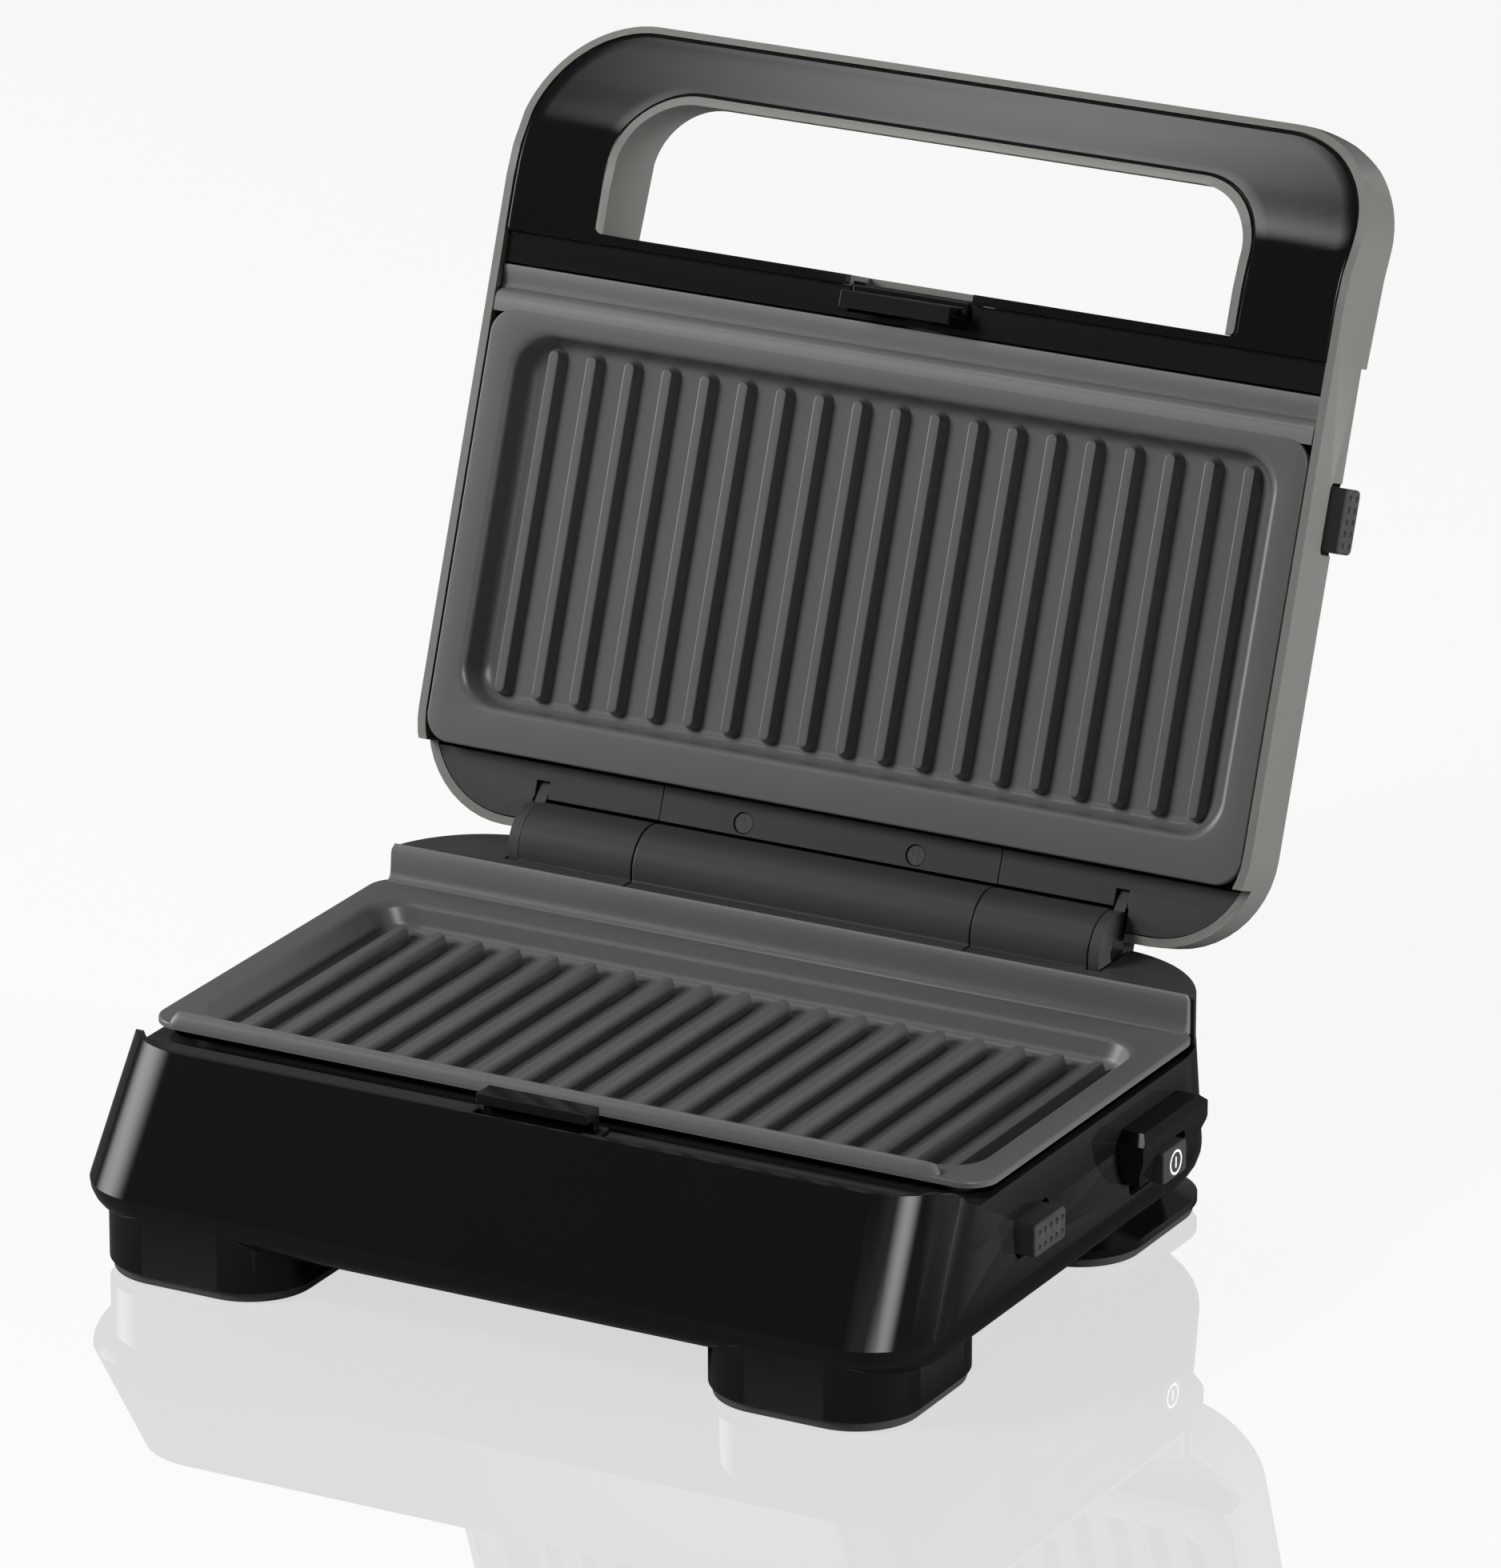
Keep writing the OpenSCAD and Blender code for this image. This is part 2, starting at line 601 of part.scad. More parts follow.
module upper_release_button() color([0.15, 0.15, 0.155]) on_lid()
    translate([1, 0, 0]) release_cap(upper_release_y, upper_release_z);

module power_button() color([0.05, 0.05, 0.055]) in_row() {
    rounded_x(128, power_face_x, power_y, power_z, 14.3, 9.6, 1.5);
    rounded_x(124.4, 128 + eps, power_y, power_z, 8, 6, 1);
}

base_housing();
bottom_cover();
front_leg(-1);  // front_leg_left
front_leg(1);  // front_leg_right
rear_leg(-1);  // rear_leg_left
rear_leg(1);  // rear_leg_right
foot_pads();
hinge_cover(-140, -seam_x - 0.15);  // base_hinge_cover_left
hinge_cover(-seam_x + 0.15, seam_x - 0.15);  // base_hinge_cover_centre
hinge_cover(seam_x + 0.15, 140);  // base_hinge_cover_right
hinge_pins();
lower_plate();
lower_reflector();
lower_element();
lower_plate_clips();
latch_catch();
switch_hood();
switch_body();
cord_bush();
lower_thermostat();
thermal_fuse();
terminal_block();
lower_wiring();
base_screws();
lower_release_spring();
lid_shell();
handle_panel();
window_frame();
lid_front_strip();
lid_rear_cover(-140, -seam_x - 0.15);  // lid_rear_cover_left
lid_rear_cover(-seam_x + 0.15, seam_x - 0.15);  // lid_rear_cover_centre
lid_rear_cover(seam_x + 0.15, 140);  // lid_rear_cover_right
hinge_arm(-1);  // hinge_arm_left
hinge_arm(1);  // hinge_arm_right
upper_plate();
upper_reflector();
upper_element();
upper_plate_clips();
upper_wiring();
lid_screws();
upper_release_spring();
latch_pin();
latch();
lower_release_button();
upper_release_button();
power_button();
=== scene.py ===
# Panini press, open. Every piece stands in the row frame, in metres. The sizes below are in
# millimetres from the middle of the feet, with the lid's pieces laid out as if it were shut.

import json
import math

import bmesh
import bpy
from bpy.props import FloatProperty, FloatVectorProperty, IntProperty, PointerProperty
from mathutils import Matrix, Vector


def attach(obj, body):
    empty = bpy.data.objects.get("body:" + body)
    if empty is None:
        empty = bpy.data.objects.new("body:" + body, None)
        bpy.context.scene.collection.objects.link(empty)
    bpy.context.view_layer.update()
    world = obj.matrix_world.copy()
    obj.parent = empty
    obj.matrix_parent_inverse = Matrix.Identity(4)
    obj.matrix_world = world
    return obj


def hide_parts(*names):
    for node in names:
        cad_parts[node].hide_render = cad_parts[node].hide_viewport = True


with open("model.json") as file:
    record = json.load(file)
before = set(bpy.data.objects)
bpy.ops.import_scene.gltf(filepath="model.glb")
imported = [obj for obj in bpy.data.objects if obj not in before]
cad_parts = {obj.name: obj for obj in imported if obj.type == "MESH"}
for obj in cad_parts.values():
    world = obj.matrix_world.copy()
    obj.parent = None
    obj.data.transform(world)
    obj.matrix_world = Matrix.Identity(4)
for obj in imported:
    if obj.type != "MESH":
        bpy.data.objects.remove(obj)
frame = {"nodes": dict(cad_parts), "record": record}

bl_info = {
    "name": "Panini press",
    "version": (1, 0, 0),
    "blender": (4, 5, 0),
    "location": "3D View > Sidebar > Panini press",
    "description": "Builds the looks of an open panini press round its packed model",
    "category": "Object",
}

MM = 0.001
ROW_ORIGIN = Vector((3.75, 46.77, 0))
HINGE = Vector((0, 94.5, 71))
LID_OPEN = math.radians(-110)

# ---- placing ----

ON_BASE = Matrix.Scale(MM, 4) @ Matrix.Translation(-ROW_ORIGIN)
ON_LID = (
    ON_BASE
    @ Matrix.Translation(HINGE)
    @ Matrix.Rotation(LID_OPEN, 4, "X")
    @ Matrix.Translation(-HINGE)
)


# ---- mesh helpers ----


def piece_from(bm, name, body, place, material, node=None):
    """Turns a mesh in millimetres into a finished piece at the origin."""
    mesh = bpy.data.meshes.new(name)
    bm.transform(place)
    bm.to_mesh(mesh)
    bm.free()
    return finish_piece(mesh, name, body, material, node)


def finish_piece(mesh, name, body, material, node=None, sharp=40):
    mesh.shade_smooth()
    mesh.set_sharp_from_angle(angle=math.radians(sharp))
    if material is not None:
        mesh.materials.clear()
        mesh.materials.append(material)
    piece = bpy.data.objects.new(name, mesh)
    bpy.context.scene.collection.objects.link(piece)
    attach(piece, body)
    if node:
        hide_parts(*([node] if isinstance(node, str) else node))
    return piece


def soften(piece, width, segments=2, angle=32):
    """Rounds a piece's sharp edges, so that each of them carries a highlight."""
    bevel = piece.modifiers.new("Rounded edges", "BEVEL")
    bevel.width = width * MM
    bevel.segments = segments
    bevel.limit_method = "ANGLE"
    bevel.angle_limit = math.radians(angle)
    bevel.use_clamp_overlap = True
    bevel.miter_outer = "MITER_ARC"
    normals = piece.modifiers.new("Even shading", "WEIGHTED_NORMAL")
    normals.keep_sharp = False
    return piece


def merged(node):
    """The node's own mesh with its loose triangles joined into plain faces."""
    bm = bmesh.new()
    bm.from_mesh(frame["nodes"][node].data)
    bmesh.ops.remove_doubles(bm, verts=bm.verts, dist=2e-6)
    bmesh.ops.dissolve_limit(
        bm, angle_limit=math.radians(0.6), verts=bm.verts, edges=bm.edges
    )
    return bm


def rounded_copy(node, body, material, width, segments=2, angle=32):
    """A piece with the node's form and rounded edges, which stands for the node."""
    bm = merged(node)
    mesh = bpy.data.meshes.new(node + "_form")
    bm.to_mesh(mesh)
    bm.free()
    piece = finish_piece(mesh, node + "_moulded", body, material, node, angle)
    return soften(piece, width, segments, angle)


def corner_ring(half, y0, y1, r_front, r_rear, z, steps=12):
    """Points round a rectangle with rounded corners, at a height."""
    corners = (
        (half - r_front, y0 + r_front, r_front, -90),
        (half - r_rear, y1 - r_rear, r_rear, 0),
        (-half + r_rear, y1 - r_rear, r_rear, 90),
        (-half + r_front, y0 + r_front, r_front, 180),
    )
    ring = []
    for cx, cy, r, start in corners:
        for i in range(steps + 1):
            a = math.radians(start + 90 * i / steps)
            ring.append(Vector((cx + r * math.cos(a), cy + r * math.sin(a), z)))
    return ring


def loft(bm, rings, cap_first=True, cap_last=True):
    """Skins a run of rings that have the same number of points."""
    rows = [[bm.verts.new(p) for p in ring] for ring in rings]
    for a, b in zip(rows, rows[1:]):
        for i in range(len(a)):
            j = (i + 1) % len(a)
            bm.faces.new((a[i], a[j], b[j], b[i]))
    if cap_first:
        bm.faces.new(list(reversed(rows[0])))
    if cap_last:
        bm.faces.new(rows[-1])
    bmesh.ops.recalc_face_normals(bm, faces=bm.faces)


# ---- geometry nodes ----


def node_tree(name, inputs):
    tree = bpy.data.node_groups.new(name, "GeometryNodeTree")
    tree.interface.new_socket(
        "Geometry", in_out="INPUT", socket_type="NodeSocketGeometry"
    )
    for label, kind, default in inputs:
        socket = tree.interface.new_socket(label, in_out="INPUT", socket_type=kind)
        if default is not None:
            socket.default_value = default
    tree.interface.new_socket(
        "Geometry", in_out="OUTPUT", socket_type="NodeSocketGeometry"
    )
    return tree, tree.nodes.new("NodeGroupInput"), tree.nodes.new("NodeGroupOutput")


def finish_tree(tree, source, group_in, group_out):
    """Ends a tree in real geometry with its material."""
    real = tree.nodes.new("GeometryNodeRealizeInstances")
    paint = tree.nodes.new("GeometryNodeSetMaterial")
    tree.links.new(source, real.inputs[0])
    tree.links.new(real.outputs[0], paint.inputs["Geometry"])
    tree.links.new(group_in.outputs["Material"], paint.inputs["Material"])
    tree.links.new(paint.outputs[0], group_out.inputs[0])


def row_tree():
    """Repeats the object's mesh along X, about the middle."""
    tree, gin, gout = node_tree(
        "Row along the width",
        [
            ("Count", "NodeSocketInt", 2),
            ("Spacing", "NodeSocketFloat", 0.01),
            ("Material", "NodeSocketMaterial", None),
        ],
    )
    new, link = tree.nodes.new, tree.links.new
    less = new("ShaderNodeMath")
    less.operation = "SUBTRACT"
    less.inputs[1].default_value = 1
    first = new("ShaderNodeMath")
    first.operation = "MULTIPLY"
    half = new("ShaderNodeMath")
    half.operation = "MULTIPLY"
    half.inputs[1].default_value = -0.5
    start = new("ShaderNodeCombineXYZ")
    step = new("ShaderNodeCombineXYZ")
    line = new("GeometryNodeMeshLine")
    place = new("GeometryNodeInstanceOnPoints")
    link(gin.outputs["Count"], less.inputs[0])
    link(less.outputs[0], first.inputs[0])
    link(gin.outputs["Spacing"], first.inputs[1])
    link(first.outputs[0], half.inputs[0])
    link(half.outputs[0], start.inputs["X"])
    link(gin.outputs["Spacing"], step.inputs["X"])
    link(gin.outputs["Count"], line.inputs["Count"])
    link(start.outputs[0], line.inputs["Start Location"])
    link(step.outputs[0], line.inputs["Offset"])
    link(line.outputs[0], place.inputs["Points"])
    link(gin.outputs["Geometry"], place.inputs["Instance"])
    finish_tree(tree, place.outputs[0], gin, gout)
    return tree


def dimple_tree():
    """Sinks a grid of round dimples into a face that looks along +X."""
    tree, gin, gout = node_tree(
        "Dimples",
        [
            ("Face", "NodeSocketVector", (0, 0, 0)),
            ("Length", "NodeSocketFloat", 0.01),
            ("Height", "NodeSocketFloat", 0.004),
            ("Columns", "NodeSocketInt", 5),
            ("Rows", "NodeSocketInt", 2),
            ("Radius", "NodeSocketFloat", 0.001),
            ("Material", "NodeSocketMaterial", None),
        ],
    )
    new, link = tree.nodes.new, tree.links.new
    grid = new("GeometryNodeMeshGrid")
    stand = new("GeometryNodeTransform")
    stand.inputs["Rotation"].default_value = (math.pi / 2, 0, math.pi / 2)
    ball = new("GeometryNodeMeshUVSphere")
    ball.inputs["Segments"].default_value = 16
    ball.inputs["Rings"].default_value = 10
    place = new("GeometryNodeInstanceOnPoints")
    real = new("GeometryNodeRealizeInstances")
    sink = new("GeometryNodeMeshBoolean")
    sink.operation = "DIFFERENCE"
    sink.solver = "EXACT"
    link(gin.outputs["Length"], grid.inputs["Size X"])
    link(gin.outputs["Height"], grid.inputs["Size Y"])
    link(gin.outputs["Columns"], grid.inputs["Vertices X"])
    link(gin.outputs["Rows"], grid.inputs["Vertices Y"])
    link(grid.outputs["Mesh"], stand.inputs["Geometry"])
    link(gin.outputs["Face"], stand.inputs["Translation"])
    link(gin.outputs["Radius"], ball.inputs["Radius"])
    link(stand.outputs[0], place.inputs["Points"])
    link(ball.outputs["Mesh"], place.inputs["Instance"])
    link(place.outputs[0], real.inputs[0])
    link(gin.outputs["Geometry"], sink.inputs["Mesh 1"])
    link(real.outputs[0], sink.inputs["Mesh 2"])
    finish_tree(tree, sink.outputs["Mesh"], gin, gout)
    return tree


def grown(mesh, name, tree, values):
    """Runs a tree on a mesh and gives back the plain mesh that comes of it."""
    carrier = bpy.data.objects.new(name + "_carrier", mesh)
    bpy.context.scene.collection.objects.link(carrier)
    modifier = carrier.modifiers.new(tree.name, "NODES")
    modifier.node_group = tree
    for item in tree.interface.items_tree:
        if item.in_out == "INPUT" and item.name in values:
            modifier[item.identifier] = values[item.name]
    seen = carrier.evaluated_get(bpy.context.evaluated_depsgraph_get())
    result = bpy.data.meshes.new_from_object(seen)
    result.name = name
    bpy.data.objects.remove(carrier)
    if not result.polygons:
        raise RuntimeError(f"{name}: the tree {tree.name} made nothing")
    return result


# ---- shader node groups ----


def shader_group(name, inputs, outputs):
    tree = bpy.data.node_groups.new(name, "ShaderNodeTree")
    for label, kind, default in inputs:
        socket = tree.interface.new_socket(label, in_out="INPUT", socket_type=kind)
        socket.default_value = default
    for label, kind in outputs:
        tree.interface.new_socket(label, in_out="OUTPUT", socket_type=kind)
    return tree, tree.nodes.new("NodeGroupInput"), tree.nodes.new("NodeGroupOutput")


def moulded_grain():
    """Fine pebbled height, such as a spark-eroded mould leaves."""
    tree, gin, gout = shader_group(
        "Moulded grain",
        [("Size", "NodeSocketFloat", 0.5), ("Softness", "NodeSocketFloat", 0.5)],
        [("Height", "NodeSocketFloat"), ("Mask", "NodeSocketFloat")],
    )
    new, link = tree.nodes.new, tree.links.new
    where = new("ShaderNodeTexCoord")
    inverse = new("ShaderNodeMath")
    inverse.operation = "DIVIDE"
    inverse.inputs[0].default_value = 1000
    fine = new("ShaderNodeTexNoise")
    fine.inputs["Detail"].default_value = 3
    cells = new("ShaderNodeTexVoronoi")
    cells.feature = "SMOOTH_F1"
    mix = new("ShaderNodeMix")
    link(gin.outputs["Size"], inverse.inputs[1])
    for n in (fine, cells):
        link(where.outputs["Object"], n.inputs["Vector"])
        link(inverse.outputs[0], n.inputs["Scale"])
    link(gin.outputs["Softness"], mix.inputs["Factor"])
    link(cells.outputs["Distance"], mix.inputs["A"])
    link(fine.outputs["Fac"], mix.inputs["B"])
    link(mix.outputs["Result"], gout.inputs["Height"])
    link(fine.outputs["Fac"], gout.inputs["Mask"])
    return tree


def surface_drift():
    """Slow change of tone and polish over a surface, as handling and moulding leave."""
    tree, gin, gout = shader_group(
        "Surface drift",
        [
            ("Color", "NodeSocketColor", (0.5, 0.5, 0.5, 1)),
            ("Tone", "NodeSocketFloat", 0.1),
            ("Polish", "NodeSocketFloat", 0.3),
            ("Spread", "NodeSocketFloat", 0.05),
            ("Size", "NodeSocketFloat", 40),
        ],
        [("Color", "NodeSocketColor"), ("Roughness", "NodeSocketFloat")],
    )
    new, link = tree.nodes.new, tree.links.new
    where = new("ShaderNodeTexCoord")
    inverse = new("ShaderNodeMath")
    inverse.operation = "DIVIDE"
    inverse.inputs[0].default_value = 1000
    slow = new("ShaderNodeTexNoise")
    slow.inputs["Detail"].default_value = 4
    centred = new("ShaderNodeMath")
    centred.operation = "SUBTRACT"
    centred.inputs[1].default_value = 0.5
    tone = new("ShaderNodeMath")
    tone.operation = "MULTIPLY_ADD"
    tone.inputs[2].default_value = 1
    polish = new("ShaderNodeMath")
    polish.operation = "MULTIPLY_ADD"
    scaled = new("ShaderNodeVectorMath")
    scaled.operation = "SCALE"
    link(gin.outputs["Size"], inverse.inputs[1])
    link(where.outputs["Object"], slow.inputs["Vector"])
    link(inverse.outputs[0], slow.inputs["Scale"])
    link(slow.outputs["Fac"], centred.inputs[0])
    link(centred.outputs[0], tone.inputs[0])
    link(gin.outputs["Tone"], tone.inputs[1])
    link(gin.outputs["Color"], scaled.inputs[0])
    link(tone.outputs[0], scaled.inputs["Scale"])
    link(scaled.outputs[0], gout.inputs["Color"])
    link(centred.outputs[0], polish.inputs[0])
    link(gin.outputs["Spread"], polish.inputs[1])
    link(gin.outputs["Polish"], polish.inputs[2])
    link(polish.outputs[0], gout.inputs["Roughness"])
    return tree


def edge_rub():
    """Lightens the convex edges, where hands and cloths rub."""
    tree, gin, gout = shader_group(
        "Edge rub",
        [
            ("Color", "NodeSocketColor", (0.5, 0.5, 0.5, 1)),
            ("Rubbed", "NodeSocketColor", (0.8, 0.8, 0.8, 1)),
            ("Amount", "NodeSocketFloat", 0.2),
        ],
        [("Color", "NodeSocketColor"), ("Mask", "NodeSocketFloat")],
    )
    new, link = tree.nodes.new, tree.links.new
    form = new("ShaderNodeNewGeometry")
    edge = new("ShaderNodeMapRange")
    edge.inputs["From Min"].default_value = 0.52
    edge.inputs["From Max"].default_value = 0.62
    weigh = new("ShaderNodeMath")
    weigh.operation = "MULTIPLY"
    mix = new("ShaderNodeMix")
    mix.data_type = "RGBA"
    link(form.outputs["Pointiness"], edge.inputs["Value"])
    link(edge.outputs[0], weigh.inputs[0])
    link(gin.outputs["Amount"], weigh.inputs[1])
    link(weigh.outputs[0], mix.inputs[0])
    link(gin.outputs["Color"], mix.inputs[6])
    link(gin.outputs["Rubbed"], mix.inputs[7])
    link(mix.outputs[2], gout.inputs["Color"])
    link(weigh.outputs[0], gout.inputs["Mask"])
    return tree


def placed(tree, node_group, **values):
    node = tree.nodes.new("ShaderNodeGroup")
    node.node_tree = node_group
    for label, value in values.items():
        node.inputs[label].default_value = value
    return node


GROUPS = {}


def finish_material(name, colour, polish, grain=0.15, grain_mm=0.5, depth_mm=0.02,
                    softness=0.5, tone=0.12, spread=0.06, drift_mm=35, rub=0.1,
                    rubbed=None, metallic=0.0, coat=0.0, coat_roughness=0.1):
    """One finish: tone and polish drift, rubbed edges and a fine moulded or cast grain."""
    if name in bpy.data.materials:
        return bpy.data.materials[name]
    material = bpy.data.materials.new(name)
    material.use_nodes = True
    tree = material.node_tree
    link = tree.links.new
    shader = tree.nodes["Principled BSDF"]
    shader.inputs["Metallic"].default_value = metallic
    shader.inputs["Coat Weight"].default_value = coat
    shader.inputs["Coat Roughness"].default_value = coat_roughness
    drift = placed(tree, GROUPS["drift"], Color=(*colour, 1), Tone=tone, Polish=polish,
                   Spread=spread, Size=drift_mm)
    edge = placed(tree, GROUPS["rub"], Rubbed=(*(rubbed or [min(1, c * 2.2) for c in colour]), 1),
                  Amount=rub)
    pebble = placed(tree, GROUPS["grain"], Size=grain_mm, Softness=softness)
    bump = tree.nodes.new("ShaderNodeBump")
    bump.inputs["Strength"].default_value = grain
    bump.inputs["Distance"].default_value = depth_mm * MM
    link(drift.outputs["Color"], edge.inputs["Color"])
    link(edge.outputs["Color"], shader.inputs["Base Color"])
    link(drift.outputs["Roughness"], shader.inputs["Roughness"])
    link(pebble.outputs["Height"], bump.inputs["Height"])
    link(bump.outputs["Normal"], shader.inputs["Normal"])
    return material


def gloss_black():
    s = bpy.context.scene.panini_finish
    return finish_material("Gloss black", s.gloss_black, s.gloss_polish, grain=0.04, grain_mm=6,
                           depth_mm=0.02, softness=1, tone=0.2, spread=0.03, rub=0.25,
                           rubbed=(0.05, 0.05, 0.052))


def nonstick():
    s = bpy.context.scene.panini_finish
    return finish_material("Non-stick coating", s.nonstick, 0.36, grain=0.2, grain_mm=0.7,
                           depth_mm=0.03, tone=0.1, spread=0.06, rub=0.5,
                           rubbed=(0.2, 0.2, 0.202), coat=0.45, coat_roughness=0.2)


def lid_paint():
    s = bpy.context.scene.panini_finish
    return finish_material("Warm silver paint", s.lid_paint, 0.34, grain=0.12, grain_mm=0.25,
                           depth_mm=0.01, softness=0.8, tone=0.06, rub=0.2, metallic=0.35,
                           coat=0.25, coat_roughness=0.15)


def hinge_grey():
    s = bpy.context.scene.panini_finish
    return finish_material("Satin dark grey plastic", s.hinge_grey, 0.4, grain=0.25,
                           grain_mm=0.45, depth_mm=0.03, rub=0.2)


def button_grey():
    return finish_material("Soft-touch dark grey", (0.042, 0.042, 0.044), 0.55, grain=0.3,
                           grain_mm=0.35, depth_mm=0.03, rub=0.3)


def matte_black():
    return finish_material("Matt black plastic", (0.02, 0.02, 0.021), 0.6, grain=0.35,
                           grain_mm=0.6, depth_mm=0.04, rub=0.15)


def pad_rubber():
    return finish_material("Foot rubber", (0.045, 0.045, 0.045), 0.78, grain=0.4, grain_mm=0.4,
                           depth_mm=0.05, rub=0.1)


def plated_steel():
    return finish_material("Plated steel", (0.55, 0.55, 0.56), 0.28, grain=0.1, grain_mm=0.4,
                           metallic=1.0, rub=0.1, rubbed=(0.8, 0.8, 0.8))


def pan_sheet():
    return finish_material("Aluminised sheet", (0.6, 0.6, 0.6), 0.4, grain=0.15, grain_mm=1.5,
                           metallic=1.0, tone=0.25, drift_mm=12, rub=0.1)


def heater_sheath():
    return finish_material("Heat-stained sheath", (0.16, 0.14, 0.12), 0.5, grain=0.2,
                           metallic=0.9, tone=0.6, drift_mm=14, rub=0.1)


def brass():
    return finish_material("Brass cap", (0.6, 0.46, 0.2), 0.3, metallic=1.0, tone=0.3, rub=0.1)


def steatite():
    return finish_material("Glazed ceramic", (0.66, 0.64, 0.57), 0.3, grain=0.2, rub=0.05)


def silicone_wire():
    return finish_material("Silicone wire", (0.35, 0.04, 0.025), 0.45, grain=0.2, grain_mm=0.3,
                           rub=0.05)


def white_print():
    return finish_material("White print", (0.8, 0.8, 0.8), 0.4, grain=0.05, rub=0.0)


# ---- settings ----


class FinishSettings(bpy.types.PropertyGroup):
    """Colours and polish of the press."""

    gloss_black: FloatVectorProperty(name="Gloss black",
                                     description="Colour of the base and handle",
                                     subtype="COLOR", default=(0.0045, 0.0045, 0.005),
                                     min=0, max=1)
    gloss_polish: FloatProperty(name="Gloss roughness", description="Roughness of the gloss black",
                                subtype="FACTOR", default=0.07, min=0, max=1)
    nonstick: FloatVectorProperty(name="Non-stick", description="Colour of the ribbed plates",
                                  subtype="COLOR", default=(0.085, 0.085, 0.086), min=0, max=1)
    lid_paint: FloatVectorProperty(name="Lid paint", description="Colour of the lid and its frame",
                                   subtype="COLOR", default=(0.2, 0.2, 0.186), min=0, max=1)
    hinge_grey: FloatVectorProperty(name="Hinge covers", description="Colour of the hinge covers",
                                    subtype="COLOR", default=(0.034, 0.034, 0.036), min=0, max=1)


class PlateSettings(bpy.types.PropertyGroup):
    """Ribs and edges of the two plates."""

    rib_count: IntProperty(name="Ribs", description="Ribs on each plate", default=19,
                           min=3, max=31)
    rib_pitch: FloatProperty(name="Rib pitch", description="Distance from rib to rib",
                             subtype="DISTANCE", unit="LENGTH", default=0.0125, min=0.008)
    rib_root: FloatProperty(name="Rib width", description="Width of a rib at its root",
                            subtype="DISTANCE", unit="LENGTH", default=0.0056, min=0.003)
    rib_crest: FloatProperty(name="Crest width", description="Width of a rib at its crest",
                             subtype="DISTANCE", unit="LENGTH", default=0.0029, min=0.001)
    rib_height: FloatProperty(name="Rib height", description="Height of a rib over the tray",
                              subtype="DISTANCE", unit="LENGTH", default=0.004, min=0.001)


class ControlSettings(bpy.types.PropertyGroup):
    """Dimples of the releases and the mark on the power button."""

    dimple_columns: IntProperty(name="Dimple columns",
                                description="Dimples along a release button",
                                default=5, min=1, max=9)
    dimple_rows: IntProperty(name="Dimple rows", description="Rows of dimples on a release button",
                             default=2, min=1, max=4)
    dimple_radius: FloatProperty(name="Dimple radius",
                                 description="Radius of the sphere of a dimple",
                                 subtype="DISTANCE", unit="LENGTH", default=0.00095, min=0.0003)
    mark_radius: FloatProperty(name="Power mark radius", description="Middle radius of the ring",
                               subtype="DISTANCE", unit="LENGTH", default=0.0033, min=0.001)


class StageSettings(bpy.types.PropertyGroup):
    """Lights and floor."""

    key_power: FloatProperty(name="Overhead light", description="Power of the overhead softbox",
                             unit="POWER", default=52, min=0)
    side_power: FloatProperty(name="Right light", description="Power of the softbox on the right",
                              unit="POWER", default=42, min=0)
    left_power: FloatProperty(name="Left light", description="Power of the strip on the left",
                              unit="POWER", default=14, min=0)
    card_strength: FloatProperty(name="Cards", description="Strength of the reflected cards",
                                 default=2.2, min=0)
    front_room: FloatProperty(name="Front room", description="Strength of the room in front",
                              default=0.05, min=0)
    back_room: FloatProperty(name="Backdrop", description="Strength of the backdrop behind",
                             default=0.13, min=0)


# ---- plates ----


def plate_bowl(half, y0, y1, r, floor_half, floor_y0, floor_y1, depth, thickness, up):
    """Plate with a rounded rim and a tray with softly rounded walls. up is 1 where the tray
    opens upwards. Heights count from the rim."""
    bm = bmesh.new()
    rings = []

    def ring(inset_half, front, rear, radius, z):
        rings.append(corner_ring(inset_half, front, rear, radius, radius, up * z))

    edge = 0.7  # rounding of the rim's outer edge
    rim = 8.6  # width of the flat rim
    lip = 1.6  # rounding from the rim into the tray
    foot = 3.2  # rounding at the foot of the wall
    mouth = 3.2  # how far the tray's mouth stands outside its floor, front and rear
    lean = 2.4  # how far the wall leans in over its height
    # underside of the tray, then of the rim
    ring(floor_half + 2, floor_y0 - 1.5, floor_y1 + 1.5, 10, -depth - 2.8)
    ring(floor_half + 4.5, floor_y0 - 3, floor_y1 + 3, 11, -depth - 0.5)
    ring(floor_half + 7.2, floor_y0 - 5, floor_y1 + 5, 12, -thickness - 0.4)
    ring(half - 1.2, y0 + 1.2, y1 - 1.2, r - 1.2, -thickness)
    ring(half, y0, y1, r, -thickness + 0.6)
    for i in range(5):
        a = math.pi / 2 * i / 4
        k = edge * (1 - math.cos(a))
        ring(half - k, y0 + k, y1 - k, r - k, -edge + edge * math.sin(a))
    # over the tray's lip and down its wall
    wall = half - rim - floor_half
    for i in range(6):
        a = math.pi / 2 * i / 5
        k = lip * math.sin(a)
        d = lip * (1 - math.cos(a))
        t = d / depth
        ring(half - rim + 1 - k - wall * t, floor_y0 - mouth + k + lean * t,
             floor_y1 + mouth - k - lean * t, 12 - k * 0.4, -d)
    for i in range(7):
        a = math.pi / 2 * i / 6
        k = foot * (1 - math.cos(a))
        d = depth - foot + foot * math.sin(a)
        t = d / depth
        ring(floor_half + (wall - 0.6) * (1 - t) - k, floor_y0 - lean * (1 - t) + k,
             floor_y1 + lean * (1 - t) - k, 11 - k * 0.6, -d)
    loft(bm, rings)
    return bm


